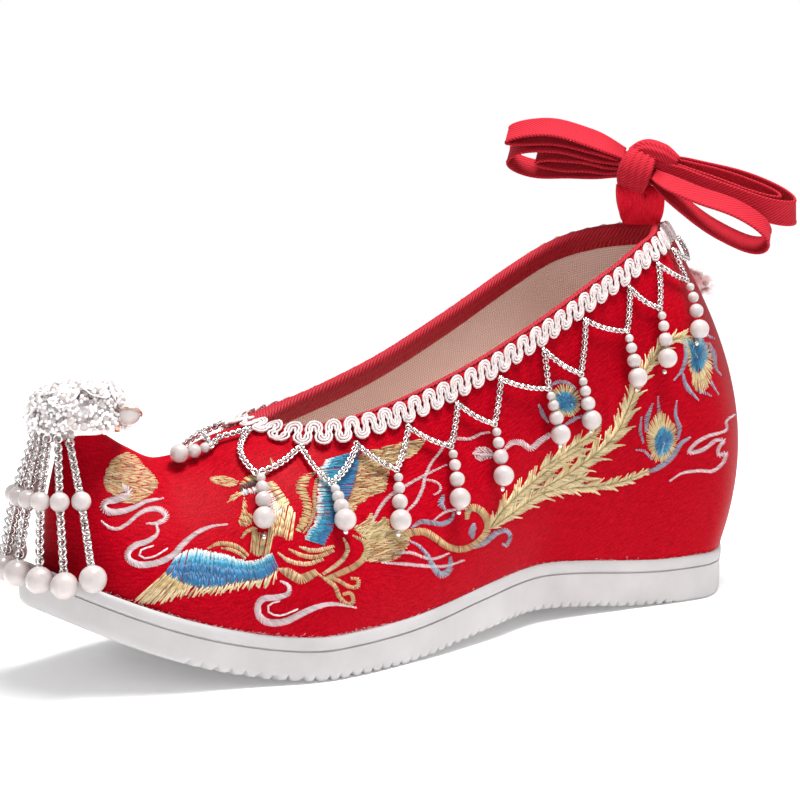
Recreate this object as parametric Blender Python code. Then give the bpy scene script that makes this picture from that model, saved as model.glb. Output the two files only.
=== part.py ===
"""Embroidered wedding shoe: rubber sole, satin upper with an upturned toe, and its trims.

Sizes are in millimetres and become metres when a mesh is made.
Places along the shoe are counted from the back of the heel towards the toe.
The toe points to -X, the near side (the wearer's inner side) is -Y, and the floor is z = 0.
"""
import math
from collections import namedtuple
from functools import lru_cache

import bmesh
import bpy
import numpy as np

MM = 0.001
GAP = 0.3
MERGE = 1e-6
NEAR, FAR = -1, 1
UP = np.array([0.0, 0.0, 1.0])

# Sole: outline half-widths, floor profile and thickness
SOLE_LENGTH = 250.0
HEEL_BEVEL_LENGTH, HEEL_BEVEL_RISE = 8.0, 2.0
ARCH_FROM, ARCH_TO, ARCH_BLEND, ARCH_RISE = 42.0, 160.0, 55.0, 4.0
TOE_SPRING_FROM, TOE_SPRING_RISE, TOE_SPRING_POWER = 180.0, 23.0, 1.8
SOLE_STEPS = 28
OutlineRow = namedtuple("OutlineRow", "from_heel near_half far_half")
SOLE_OUTLINE = (
    OutlineRow(0, 0, 0),
    OutlineRow(6, 14.3, 14.3),
    OutlineRow(30, 30.6, 31.0),
    OutlineRow(60, 27.7, 31.0),
    OutlineRow(90, 25.2, 32.0),
    OutlineRow(120, 33.5, 36.0),
    OutlineRow(150, 39.9, 40.5),
    OutlineRow(178, 43.1, 39.5),
    OutlineRow(205, 35.0, 33.0),
    OutlineRow(228, 27.6, 24.5),
    OutlineRow(243, 16.4, 13.5),
    OutlineRow(SOLE_LENGTH, 0, 0),
)
ThicknessRow = namedtuple("ThicknessRow", "from_heel thickness")
SOLE_THICKNESS = (
    ThicknessRow(0, 14.8),
    ThicknessRow(60, 14.8),
    ThicknessRow(120, 13.8),
    ThicknessRow(180, 12.4),
    ThicknessRow(SOLE_LENGTH, 11.6),
)
# Side of the sole from the tread up: inset from the outline, height from the floor or from the top
SoleSideRow = namedtuple("SoleSideRow", "inset above_floor below_top")
SOLE_SIDE = (
    SoleSideRow(2.0, 0.0, None),
    SoleSideRow(0.4, 1.6, None),
    SoleSideRow(0.4, None, 4.4),
    SoleSideRow(1.2, None, 4.0),
    SoleSideRow(1.2, None, 3.7),
    SoleSideRow(0.0, None, 3.3),
    SoleSideRow(0.0, None, 0.8),
    SoleSideRow(0.8, None, 0.0),
)

# Upper: lower edge on the sole, then one row for each wall section from the toe to the heel
WALL = 1.8
FEATHER_LINE = (
    OutlineRow(0.6, 0, 0),
    OutlineRow(6, 13.3, 13.3),
    OutlineRow(30, 29.9, 30.3),
    OutlineRow(60, 27.0, 30.3),
    OutlineRow(90, 24.5, 31.3),
    OutlineRow(120, 32.8, 35.3),
    OutlineRow(150, 39.2, 39.8),
    OutlineRow(178, 42.4, 38.8),
    OutlineRow(205, 34.2, 32.2),
    OutlineRow(222, 28.3, 25.4),
    OutlineRow(232, 21.5, 18.8),
    OutlineRow(239, 11.5, 10.2),
    OutlineRow(242.5, 0, 0),
)
# foot_at and top_at: ends of the section along the shoe; heading: which way the section leans
# out, in degrees from straight sideways towards the toe; out, up and down: its handle lengths
WallRow = namedtuple(
    "WallRow",
    "foot_at top_at top_half top_height heading foot_out foot_up top_out top_down",
)
WALL_SECTIONS = (
    WallRow(242.5, 235.0, 0, 71.0, 90, 0.5, 14, 6.0, 8.0),
    WallRow(239.0, 232.5, 0, 69.9, 55, 0.8, 13, 5.0, 9.0),
    WallRow(232.0, 228.0, 0, 67.2, 28, 1.5, 14, 6.0, 8.0),
    WallRow(222.0, 219.0, 0, 61.5, 10, 3.0, 15, 9.0, 6.0),
    WallRow(211.0, 210.0, 0, 57.8, 3, 4.0, 17, 13.0, 5.0),
    WallRow(201.0, 201.0, 0, 58.9, 0, 4.0, 20, 18.0, 4.6),
    WallRow(191.0, 192.0, 0, 62.2, 0, 4.0, 22, 22.5, 3.8),
    WallRow(179.5, 179.0, 0, 64.8, 0, 4.0, 24, 26.0, 3.0),
    WallRow(174.5, 175.5, 11.5, 64.4, 0, 4.0, 24, 15.0, 9.0),
    WallRow(167.0, 167.5, 17.6, 65.0, 0, 4.0, 24, 10.0, 12.0),
    WallRow(152.0, 153.0, 21.4, 67.6, 0, 3.5, 22, 6.0, 14.0),
    WallRow(122.0, 124.0, 22.8, 76.6, 0, 4.0, 24, 5.0, 20.0),
    WallRow(92.0, 95.0, 23.7, 89.4, 0, 5.0, 26, 5.0, 24.0),
    WallRow(62.0, 66.0, 24.0, 104.2, -3, 6.0, 32, 7.0, 30.0),
    WallRow(34.0, 46.0, 20.5, 113.8, -22, 9.5, 34, 16.0, 34.0),
    WallRow(13.0, 31.0, 9.3, 117.8, -58, 12.0, 34, 26.0, 38.0),
    WallRow(0.6, 21.0, 0, 118.4, -90, 13.0, 33, 29.0, 36.0),
)
TOE, THROAT, HEEL = 0, 7, len(WALL_SECTIONS) - 1
STEPS_PER_SECTION, THROAT_STEPS = 2, 4
THROAT_SECTIONS = range(6, 9)
COLLAR_BANDS = (0.0, 3.5, 7.5)
LOWER_BANDS = 6
THROAT_ROUND, THROAT_REACH, EDGE_STEP = 8.0, 22.0, 0.5
CURVE_SAMPLES, COLLAR_SAMPLES = 49, 241

# Insole: height of the footbed over the sole, with the wedge under the heel
INSOLE_CLEARANCE = 0.8
INSOLE_BANDS = 3
FootbedRow = namedtuple("FootbedRow", "from_heel height")
FOOTBED = (
    FootbedRow(0, 48),
    FootbedRow(40, 46),
    FootbedRow(80, 32),
    FootbedRow(120, 15),
    FootbedRow(150, 6.5),
    FootbedRow(180, 4.5),
    FootbedRow(SOLE_LENGTH, 4.5),
)

# Collar binding: folded tape over the edge and down the inside
BINDING_THICKNESS, BINDING_CAP, BINDING_INSIDE = 0.6, 0.9, 6.5
BINDING_THROAT_GAP = 1.8

# Collar braid: scalloped band outside the collar
BRAID_OFF, BRAID_THICKNESS, BRAID_PITCH = 0.5, 1.4, 5.8
BRAID_TOP, BRAID_BOTTOM, BRAID_SCALLOP = -0.6, 6.6, 0.9
BRAID_STEPS_PER_LOBE, BRAID_THROAT_GAP = 3, 0.4

# Chain swags and pearl drops. high: where the chain leaves the braid, along the collar from the
# throat; along and reach: where its low point hangs and how far below the collar edge; swing: how
# far the drop leans to the toe for each mm of fall
CHAIN_RADIUS, CHAIN_OFF, CHAIN_SIDES, CHAIN_STEPS = 0.95, 1.0, 3, 2
SWAG_TOP = 9.4
SwagRow = namedtuple("SwagRow", "high along reach swing")
SWAGS = (
    SwagRow(6.0, 11.9, 19.3, 0.36),
    SwagRow(17.0, 22.9, 17.2, 0.14),
    SwagRow(30.0, 38.5, 16.7, 0.38),
    SwagRow(46.5, 59.0, 16.7, 0.22),
    SwagRow(65.0, 76.6, 17.3, 0.14),
    SwagRow(82.0, 100.0, 17.9, -0.08),
    SwagRow(100.0, 113.5, 20.4, -0.05),
    SwagRow(118.0, 133.7, 17.8, 0.01),
    SwagRow(137.5, 146.8, 18.2, 0.19),
    SwagRow(151.5, 162.2, 16.4, 0.38),
)
BACK_SWAG_HIGH, BACK_SWAG_LOW, BACK_SWAG_REACH = 163.5, 175.0, 14.0
DROP_PEARLS = (1.3, 1.7, 2.2, 3.0)
PEARL_NECK, PEARL_OFF, PEARL_SIDES, PEARL_CLEAR = 0.5, 1.2, 5, 0.9
SWAG_LAST = 2.5
THROAT_CHAIN_ALONG, THROAT_CHAIN_REACH = 1.2, 15.0
THROAT_PEARLS = (1.4, 1.9, 2.6)
THROAT_PEARL_FROM, THROAT_PEARL_DROP = 197.0, 7.0

# Toe rosette and tassel
ROSETTE_AT, ROSETTE_RADIUS, ROSETTE_BASE, ROSETTE_TOP = 232.5, 15.0, 66.5, 81.5
ROSETTE_LOBES, ROSETTE_LOBE_DEPTH, ROSETTE_SIDES = 8, 0.07, 24
ROSETTE_RINGS = (0.3, 0.6, 0.85, 1.0)
CREST_FALL, CREST_OFF = 1.2, 1.1
CrestRow = namedtuple("CrestRow", "from_heel height")
CREST = (
    CrestRow(210, 57.8),
    CrestRow(219, 61.5),
    CrestRow(228, 67.2),
    CrestRow(235, 71.0),
    CrestRow(238, 68.5),
    CrestRow(242, 55.0),
)
TASSEL_CHAIN_RADIUS, TASSEL_SIDES = 1.25, 6
TASSEL_TOP_AT, TASSEL_TOP_SPREAD, TASSEL_TOP_HEIGHT = 239.0, 0.55, 64.6
TASSEL_MID_HEIGHT, TASSEL_MID_PEARL, TASSEL_END_PEARL = 50.5, 2.6, 3.6
StrandRow = namedtuple("StrandRow", "mid_at mid_half end_at end_half end_height")
TASSEL_STRANDS = (
    StrandRow(249.2, 2.8, 253.2, 4.2, 32.0),
    StrandRow(248.0, 7.6, 250.6, 11.6, 31.0),
    StrandRow(244.4, 11.4, 246.6, 17.6, 30.0),
    StrandRow(239.4, 13.6, 241.2, 22.8, 32.0),
)

# Heel flower on the back seam
FLOWER_DROP, FLOWER_RADIUS, FLOWER_PETALS, FLOWER_DEPTH = 25.0, 6.5, 5, 4.5
FLOWER_PETAL_DEPTH, FLOWER_SIDES, FLOWER_OFF = 0.16, 20, 0.5

# Heel loop, ribbon knot and bow loops
TAPE_WIDTH, TAPE_THICKNESS = 9.0, 0.8
TabRow = namedtuple("TabRow", "from_heel height")
HEEL_LOOP = (
    TabRow(27.0, 120.6),
    TabRow(31.6, 122.6),
    TabRow(35.4, 124.8),
    TabRow(36.2, 127.2),
    TabRow(34.0, 129.0),
    TabRow(30.6, 128.6),
    TabRow(27.0, 126.2),
    TabRow(24.4, 123.4),
    TabRow(23.6, 120.6),
)
HEEL_LOOP_WIDTH, HEEL_LOOP_THICKNESS = 10.5, 0.9
PASS_AT, PASS_HEIGHT, PASS_HALF_LENGTH = 30.4, 125.3, 7.0
PASS_HALF_WIDTH, PASS_HALF_DEPTH, PASS_SLOPE, PASS_SIDES = 2.6, 1.5, 0.75, 8
KNOT_AT, KNOT_HEIGHT = 32.0, 137.6
KNOT_HALF_LENGTH, KNOT_HALF_DEPTH, KNOT_HALF_HEIGHT = 5.0, 5.4, 7.4
KNOT_SIDES, KNOT_RINGS, KNOT_SQUARENESS = 16, 8, 0.75
BOW_YAW = 52.0
LOOP_STEPS, LOOP_MOUTH = 14, 0.4
# tilt: how far the top edge of the tape leans to the front; root: half the gap between the two
# runs at the knot; opening: their widest gap; ahead: shift to the front; lift, rise and droop: height
BowRow = namedtuple("BowRow", "name side length tilt root opening ahead lift rise droop")
BOW_LOOPS = (
    BowRow("bow_loop_left_top", -1, 37.0, -50.0, 0.7, 3.8, 2.6, 4.6, 20.6, 15.8),
    BowRow("bow_loop_left_middle", -1, 37.4, -50.0, 2.2, 10.8, -1.8, -0.8, 7.6, 4.0),
    BowRow("bow_loop_left_low", -1, 28.0, -50.0, 0.7, 4.0, -1.8, -0.8, 5.8, 2.3),
    BowRow("bow_loop_right_back", 1, 44.6, 26.0, 2.1, 12.6, -1.4, -0.2, -11.6, 3.2),
    BowRow("bow_loop_right_middle", 1, 40.0, 26.0, 0.7, 7.2, -1.4, -0.2, -11.0, 2.6),
    BowRow("bow_loop_right_front", 1, 37.6, -55.0, 0.7, 12.0, 9.6, -2.2, -27.8, -7.0),
)

# Finish of each piece: colour, roughness and metallic value
Finish = namedtuple("Finish", "colour roughness metallic")
RED_SATIN = Finish((0.62, 0.012, 0.03), 0.42, 0.0)
RED_TAPE = Finish((0.55, 0.012, 0.03), 0.75, 0.0)
RED_BINDING = Finish((0.42, 0.008, 0.02), 0.7, 0.0)
WHITE_RUBBER = Finish((0.74, 0.71, 0.71), 0.55, 0.0)
BEIGE_LINING = Finish((0.55, 0.42, 0.38), 0.85, 0.0)
WHITE_GIMP = Finish((0.86, 0.83, 0.83), 0.7, 0.0)
SILVER_CHAIN = Finish((0.78, 0.77, 0.76), 0.25, 1.0)
IVORY_PEARL = Finish((0.9, 0.87, 0.83), 0.2, 0.0)
CLEAR_BEADS = Finish((0.9, 0.86, 0.86), 0.3, 0.0)


def clear_scene():
    """Remove whatever the file opened with."""
    for item in list(bpy.data.objects):
        bpy.data.objects.remove(item, do_unlink=True)


@lru_cache(maxsize=None)
def tangents(knots, values):
    """Slopes of a monotone cubic at its knots."""
    step = np.diff(knots)
    slope = np.diff(values) / step
    found = np.zeros(len(knots))
    found[0], found[-1] = slope[0], slope[-1]
    for i in range(1, len(knots) - 1):
        if slope[i - 1] * slope[i] > 0:
            before = 2 * step[i] + step[i - 1]
            after = step[i] + 2 * step[i - 1]
            found[i] = (before + after) / (before / slope[i - 1] + after / slope[i])
    return found


def smooth(knots, values, at):
    """Read a monotone cubic through the knots at one place."""
    slopes = tangents(knots, values)
    i = int(np.clip(np.searchsorted(knots, at, side="right") - 1, 0, len(knots) - 2))
    step = knots[i + 1] - knots[i]
    t = (at - knots[i]) / step
    start = (1 + 2 * t) * (1 - t) ** 2 * values[i] + t * (1 - t) ** 2 * step * slopes[i]
    end = t * t * (3 - 2 * t) * values[i + 1] + t * t * (t - 1) * step * slopes[i + 1]
    return float(start + end)


def read(rows, key, value, at):
    """Read a column of a table at a place along its key column."""
    knots = tuple(float(getattr(row, key)) for row in rows)
    values = tuple(float(getattr(row, value)) for row in rows)
    return smooth(knots, values, at)


def half_width(rows, side, at):
    """Half-width of an outline; its square is interpolated, so both ends come out round."""
    column = "near_half" if side == NEAR else "far_half"
    knots = tuple(float(row.from_heel) for row in rows)
    squares = tuple(float(getattr(row, column)) ** 2 for row in rows)
    return math.sqrt(max(smooth(knots, squares, at), 0.0))


def ease(t):
    """Smooth step from 0 to 1."""
    t = min(max(t, 0.0), 1.0)
    return t * t * (3 - 2 * t)


def place(from_heel, y, z):
    """Point from a place along the shoe, a side and a height."""
    return np.array([SOLE_LENGTH / 2 - from_heel, y, z])


def unit(vector):
    return vector / np.linalg.norm(vector)


def floor_gap(at):
    """Height of the tread over the floor: heel bevel, arch and toe spring."""
    bevel = HEEL_BEVEL_RISE * max((HEEL_BEVEL_LENGTH - at) / HEEL_BEVEL_LENGTH, 0.0) ** 2
    arch = ease((at - ARCH_FROM) / ARCH_BLEND) * ease((ARCH_TO - at) / ARCH_BLEND)
    spring = max((at - TOE_SPRING_FROM) / (SOLE_LENGTH - TOE_SPRING_FROM), 0.0)
    return bevel + ARCH_RISE * arch + TOE_SPRING_RISE * spring ** TOE_SPRING_POWER


def sole_top(at):
    """Height of the sole's upper face."""
    at = min(max(at, 0.0), SOLE_LENGTH)
    return floor_gap(at) + read(SOLE_THICKNESS, "from_heel", "thickness", at)


def add_piece(name, points, faces, finish):
    """Make one closed, smooth-shaded piece from points in millimetres."""
    mesh = bpy.data.meshes.new(name)
    work = bmesh.new()
    corners = [work.verts.new(tuple(np.asarray(p) * MM)) for p in points]
    for face in faces:
        work.faces.new([corners[i] for i in face])
    bmesh.ops.remove_doubles(work, verts=work.verts, dist=MERGE)
    bmesh.ops.recalc_face_normals(work, faces=work.faces)
    work.to_mesh(mesh)
    work.free()
    mesh.shade_smooth()
    mesh.set_sharp_from_angle(angle=math.radians(40))
    mesh.materials.append(finish_material(name, finish))
    piece = bpy.data.objects.new(name, mesh)
    bpy.context.scene.collection.objects.link(piece)
    return piece


def finish_material(name, finish):
    """Principled material with the piece's own colour and gloss."""
    material = bpy.data.materials.new(name + "_finish")
    material.use_nodes = True
    shader = material.node_tree.nodes["Principled BSDF"]
    shader.inputs["Base Color"].default_value = (*finish.colour, 1.0)
    shader.inputs["Roughness"].default_value = finish.roughness
    shader.inputs["Metallic"].default_value = finish.metallic
    return material


def band_faces(first, second, closed):
    """Quads between two equal rows of point indices."""
    count = len(first)
    last = count if closed else count - 1
    quads = []
    for i in range(last):
        j = (i + 1) % count
        quads.append((first[i], first[j], second[j], second[i]))
    return quads


def cap_strips(ring):
    """Close a ring of near points and mirrored far points with strips straight across."""
    half = len(ring) // 2
    faces = [(ring[0], ring[1], ring[-1])]
    for i in range(1, half - 1):
        faces.append((ring[i], ring[i + 1], ring[-i - 1], ring[-i]))
    faces.append((ring[half - 1], ring[half], ring[half + 1]))
    return faces


def stacked_rings(name, rings, finish):
    """Solid from rings of points, bottom to top, capped across at both ends."""
    count = len(rings[0])
    points = [p for ring in rings for p in ring]
    rows = [list(range(k * count, (k + 1) * count)) for k in range(len(rings))]
    faces = cap_strips(rows[0]) + cap_strips(rows[-1])
    for lower, upper in zip(rows, rows[1:]):
        faces += band_faces(lower, upper, closed=True)
    return add_piece(name, points, faces, finish)


def swept_ring(name, profiles, finish):
    """Closed ring from one profile of points at each station."""
    count = len(profiles[0])
    points = [p for profile in profiles for p in profile]
    rows = [list(range(k * count, (k + 1) * count)) for k in range(len(profiles))]
    faces = []
    for this, following in zip(rows, rows[1:] + rows[:1]):
        faces += band_faces(this, following, closed=True)
    return add_piece(name, points, faces, finish)


def swept_strip(name, profiles, finish):
    """Open strip from one profile of points at each station, with its two ends closed."""
    count = len(profiles[0])
    points = [p for profile in profiles for p in profile]
    rows = [list(range(k * count, (k + 1) * count)) for k in range(len(profiles))]
    faces = [tuple(rows[0]), tuple(rows[-1])]
    for this, following in zip(rows, rows[1:]):
        faces += band_faces(this, following, closed=True)
    return add_piece(name, points, faces, finish)


def tube(name, centres, radii, sides, finish):
    """Round strand of changing radius along a path."""
    centres = [np.asarray(c, dtype=float) for c in centres]
    profiles = []
    across = None
    for i, centre in enumerate(centres):
        ahead = centres[min(i + 1, len(centres) - 1)]
        behind = centres[max(i - 1, 0)]
        along = unit(ahead - behind)
        if across is None:
            across = unit(np.cross(along, (0.31, 0.87, 0.38)))
        across = unit(across - along * np.dot(across, along))
        over = np.cross(along, across)
        turns = [2 * math.pi * k / sides for k in range(sides)]
        ring = [centre + radii[i] * (math.cos(a) * across + math.sin(a) * over) for a in turns]
        profiles.append(ring)
    return swept_strip(name, profiles, finish)


def sole_outline(inset):
    """Plan outline of the sole, near side heel to toe and then back along the far side."""
    turns = [math.pi * i / SOLE_STEPS for i in range(SOLE_STEPS + 1)]
    places = [SOLE_LENGTH / 2 * (1 - math.cos(t)) for t in turns]
    near = [place(at, NEAR * half_width(SOLE_OUTLINE, NEAR, at), 0) for at in places]
    far = [place(at, FAR * half_width(SOLE_OUTLINE, FAR, at), 0) for at in places]
    ring = near + far[-2:0:-1]
    moved = []
    for i, point in enumerate(ring):
        along = unit(ring[(i + 1) % len(ring)] - ring[i - 1])
        moved.append(point - inset * np.array([-along[1], along[0], 0.0]))
    return moved


def build_outsole():
    rings = []
    for row in SOLE_SIDE:
        ring = []
        for point in sole_outline(row.inset):
            at = SOLE_LENGTH / 2 - point[0]
            if row.below_top is None:
                height = floor_gap(at) + row.above_floor
            else:
                height = sole_top(at) - row.below_top
            ring.append(np.array([point[0], point[1], height]))
        rings.append(ring)
    return stacked_rings("outsole", rings, WHITE_RUBBER)


@lru_cache(maxsize=None)
def wall_row(station):
    """Wall section between the table's rows; the top handle's reach goes from the middle plane."""
    knots = tuple(float(i) for i in range(len(WALL_SECTIONS)))
    columns = {}
    for name in WallRow._fields:
        values = tuple(float(getattr(row, name)) for row in WALL_SECTIONS)
        if name == "top_half":
            squares = tuple(v * v for v in values)
            columns[name] = math.sqrt(max(smooth(knots, squares, station), 0.0))
        elif name == "top_out":
            reaches = tuple(float(row.top_half + row.top_out) for row in WALL_SECTIONS)
            columns[name] = smooth(knots, reaches, station) - columns["top_half"]
        else:
            columns[name] = smooth(knots, values, station)
    return WallRow(**columns)


@lru_cache(maxsize=None)
def wall_curve(side, station, outset):
    """Points of one wall section from its top to its foot, with distances from the top."""
    row = wall_row(station)
    lean = math.radians(row.heading)
    out = np.array([-math.sin(lean), side * math.cos(lean), 0.0])
    slope = math.atan2(row.top_down, row.top_out)
    open_share = ease(row.top_half / THROAT_ROUND) if station < HEEL - 1 else 1.0
    lift = (1 - open_share) / math.cos(slope) + open_share * math.cos(slope)
    foot_y = side * half_width(FEATHER_LINE, side, row.foot_at)
    foot = place(row.foot_at, foot_y, sole_top(row.foot_at) + GAP) + outset * out
    top = place(row.top_at, side * row.top_half, row.top_height)
    top = top + outset * (open_share * math.sin(slope) * out + lift * UP)
    above_foot = foot + row.foot_out * out + row.foot_up * UP
    below_top = top + row.top_out * out - row.top_down * UP
    t = np.linspace(0.0, 1.0, CURVE_SAMPLES)[:, None]
    curve = (1 - t) ** 3 * top + 3 * t * (1 - t) ** 2 * below_top
    curve = curve + 3 * t * t * (1 - t) * above_foot + t ** 3 * foot
    steps = np.linalg.norm(np.diff(curve, axis=0), axis=1)
    return curve, np.concatenate([[0.0], np.cumsum(steps)])


def wall_point(side, station, drop, outset):
    """Point on the wall, drop below its top edge and outset from its outer face."""
    curve, distance = wall_curve(side, station, outset)
    if drop < 0:
        return curve[0] + drop * unit(curve[1] - curve[0])
    return np.array([np.interp(drop, distance, curve[:, k]) for k in range(3)])


def wall_stations(first, last):
    """Stations of the upper's points, closer together round the throat."""
    stations = []
    for section in range(first, last):
        steps = THROAT_STEPS if section in THROAT_SECTIONS else STEPS_PER_SECTION
        stations += [section + k / steps for k in range(steps)]
    return stations + [last]


def wall_drops(side, station, outset):
    """Distances below the top edge at which the wall has its rows of points."""
    height = wall_curve(side, station, outset)[1][-1]
    lower = height - COLLAR_BANDS[-1]
    bands = [COLLAR_BANDS[-1] + lower * (k + 1) / LOWER_BANDS for k in range(LOWER_BANDS)]
    return list(COLLAR_BANDS) + bands


def build_upper():
    """Hollow shell: outer and inner walls on both sides, joined at the collar and underneath."""
    stations = wall_stations(TOE, HEEL)
    points, faces = [], []
    for side in (NEAR, FAR):
        skins = []
        for outset in (0.0, -WALL):
            grid = []
            for station in stations:
                start = len(points)
                drops = wall_drops(side, station, outset)
                points += [wall_point(side, station, drop, outset) for drop in drops]
                grid.append(list(range(start, len(points))))
            for this, following in zip(grid, grid[1:]):
                faces += band_faces(this, following, closed=False)
            skins.append(grid)
        outer, inner = skins
        for i in range(len(stations) - 1):
            foot = (outer[i][-1], outer[i + 1][-1], inner[i + 1][-1], inner[i][-1])
            faces.append(foot)
            if stations[i] >= THROAT:
                faces.append((outer[i][0], outer[i + 1][0], inner[i + 1][0], inner[i][0]))
    return add_piece("upper", points, faces, RED_SATIN)


def footbed_height(at):
    at = min(max(at, 0.0), SOLE_LENGTH)
    return sole_top(at) + read(FOOTBED, "from_heel", "height", at)


def footbed_drop(side, station, outset):
    """Distance below the top edge at which a wall section meets the footbed."""
    curve, distance = wall_curve(side, station, outset)
    over = [p[2] - footbed_height(SOLE_LENGTH / 2 - p[0]) for p in curve]
    return float(np.interp(0.0, over[::-1], distance[::-1]))


def build_insole():
    """Footbed with its wedge, filling the bottom of the upper clear of the wall."""
    outset = -(WALL + INSOLE_CLEARANCE)
    stations = wall_stations(TOE, HEEL)[::-1]
    rings = []
    for band in range(INSOLE_BANDS + 1):
        sides = []
        for side in (NEAR, FAR):
            row = []
            for station in stations:
                foot = wall_curve(side, station, outset)[1][-1]
                bed = footbed_drop(side, station, outset)
                drop = foot + (bed - foot) * band / INSOLE_BANDS
                row.append(wall_point(side, station, drop, outset))
            sides.append(row)
        near, far = sides
        rings.append(near + far[-2:0:-1])
    return stacked_rings("insole", rings, BEIGE_LINING)


@lru_cache(maxsize=None)
def collar_lengths():
    """Fine stations along the collar with the length of its edge up to each."""
    stations = np.linspace(THROAT, HEEL, COLLAR_SAMPLES)
    edge = np.array([wall_point(NEAR, float(s), 0.0, 0.0) for s in stations])
    steps = np.linalg.norm(np.diff(edge, axis=0), axis=1)
    return stations, np.concatenate([[0.0], np.cumsum(steps)])


def collar_station(along):
    """Station at a length along the collar edge from the throat."""
    stations, lengths = collar_lengths()
    return float(np.interp(along, lengths, stations))


def station_at(top_at):
    """Station whose section reaches its top at a place along the shoe."""
    stations = np.linspace(TOE, HEEL, COLLAR_SAMPLES)
    tops = [wall_row(float(s)).top_at for s in stations]
    return float(np.interp(-top_at, [-t for t in tops], stations))


def throat_share(along):
    """1 round the throat, fading to 0 along the sides of the collar."""
    return 1 - ease((along - THROAT_REACH) / THROAT_REACH)


def beside_collar(side, along, distance):
    """Station and drop of a place square off the collar edge: ahead of the throat, below the sides."""
    station = collar_station(along)
    here = wall_row(station)
    ahead = wall_row(collar_station(along + EDGE_STEP))
    turn = math.atan2(ahead.top_half - here.top_half, here.top_at - ahead.top_at)
    turn = turn * throat_share(along)
    if turn == 0:
        return station, distance
    front = station_at(here.top_at + distance * math.sin(turn))
    curve, lengths = wall_curve(side, front, 0.0)
    start = float(np.interp(here.top_half, np.abs(curve[:, 1]), lengths)) if front < station else 0.0
    return front, start + distance * math.cos(turn)


def collar_point(side, along, distance, outset):
    """Point beside the collar edge, or past the edge where the distance is negative."""
    if distance < 0:
        edge = collar_point(side, along, 0.0, outset)
        return edge + distance * unit(collar_point(side, along, 1.0, outset) - edge)
    station, drop = beside_collar(side, along, distance)
    return wall_point(side, station, drop, outset)


def collar_ring(lengths):
    """Places round the collar: throat to heel on the near side, then back on the far side."""
    near = [(NEAR, along) for along in lengths]
    far = [(FAR, along) for along in lengths[-2:0:-1]]
    return near + far


def build_binding():
    """Folded tape: over the collar's edge and down its inner face."""
    cap = -(GAP + BINDING_CAP)
    stations, lengths = collar_lengths()
    places = [float(np.interp(s, stations, lengths)) for s in wall_stations(THROAT, HEEL)]
    profiles = []
    for side, along in collar_ring(places):
        inner = -(WALL + GAP + BINDING_THROAT_GAP * throat_share(along))
        lining = inner - BINDING_THICKNESS
        section = (
            (-GAP, 0.0),
            (cap, 0.0),
            (cap, lining),
            (BINDING_INSIDE, lining),
            (BINDING_INSIDE, inner),
            (-GAP, inner),
        )
        profiles.append([collar_point(side, along, drop, out) for drop, out in section])
    return swept_ring("collar_binding", profiles, RED_BINDING)


def build_braid():
    """Gimp braid: a scalloped band along the outside of the collar."""
    total = collar_lengths()[1][-1]
    count = round(total / BRAID_PITCH) * BRAID_STEPS_PER_LOBE
    profiles = []
    for k, (side, along) in enumerate(collar_ring([total * i / count for i in range(count + 1)])):
        wave = BRAID_SCALLOP * math.cos(2 * math.pi * k / BRAID_STEPS_PER_LOBE)
        top, bottom = BRAID_TOP - wave, BRAID_BOTTOM - wave
        inner = BRAID_OFF + BRAID_THROAT_GAP * throat_share(along)
        outer = inner + BRAID_THICKNESS
        section = ((top, inner), (top, outer), (bottom, outer), (bottom, inner))
        profiles.append([collar_point(side, along, drop, out) for drop, out in section])
    return swept_ring("collar_braid", profiles, WHITE_GIMP)


def swag_knots():
    """High and low points of one chain run as (along, distance), from the vamp to the heel."""
    total = collar_lengths()[1][-1]
    knots = [(THROAT_CHAIN_ALONG, THROAT_CHAIN_REACH)]
    for row in SWAGS:
        knots += [(row.high, SWAG_TOP), (row.along, row.reach)]
    knots += [(BACK_SWAG_HIGH, SWAG_TOP), (BACK_SWAG_LOW, BACK_SWAG_REACH)]
    knots.append((total - SWAG_LAST, SWAG_TOP))
    return knots


def build_chain(side, name):
    """Chain hung in a zigzag under the braid, one strand for each side."""
    outset = CHAIN_RADIUS + CHAIN_OFF
    path = []
    knots = swag_knots()
    for (along, drop), (next_along, next_drop) in zip(knots, knots[1:]):
        for k in range(CHAIN_STEPS):
            share = k / CHAIN_STEPS
            here = along + (next_along - along) * share
            path.append(collar_point(side, here, drop + (next_drop - drop) * share, outset))
    path.append(collar_point(side, *knots[-1], outset))
    return tube(name, path, [CHAIN_RADIUS] * len(path), CHAIN_SIDES, SILVER_CHAIN)


def pearl_string(radii):
    """Rings of a string of pearls as (distance, ring radius, pearl radius)."""
    rings = [(0.0, PEARL_NECK, radii[0])]
    centre = 0.0
    for radius in radii:
        centre += radius
        rings.append((centre - 0.5 * radius, 0.87 * radius, radius))
        rings.append((centre + 0.5 * radius, 0.87 * radius, radius))
        centre += radius
        rings.append((centre, PEARL_NECK, radius))
    return rings


def build_drop(side, row, name):
    """Graduated pearls hanging down the wall from one low point of the chain."""
    station, low = beside_collar(side, row.along, row.reach)
    top_at = wall_row(station).top_at
    start = low + CHAIN_RADIUS + PEARL_CLEAR
    centres, radii = [], []
    for distance, ring, pearl in pearl_string(DROP_PEARLS):
        swung = station_at(top_at + row.swing * distance)
        centres.append(wall_point(side, swung, start + distance, pearl + PEARL_OFF))
        radii.append(ring)
    return tube(name, centres, radii, PEARL_SIDES, IVORY_PEARL)


def build_throat_drop():
    """Pearls lying along the vamp in front of the throat, fallen to its near side."""
    centres, radii = [], []
    for distance, ring, pearl in pearl_string(THROAT_PEARLS):
        at = THROAT_PEARL_FROM + distance
        centres.append(wall_point(NEAR, station_at(at), THROAT_PEARL_DROP, pearl + PEARL_OFF))
        radii.append(ring)
    return tube("throat_drop", centres, radii, PEARL_SIDES + 1, IVORY_PEARL)


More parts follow.
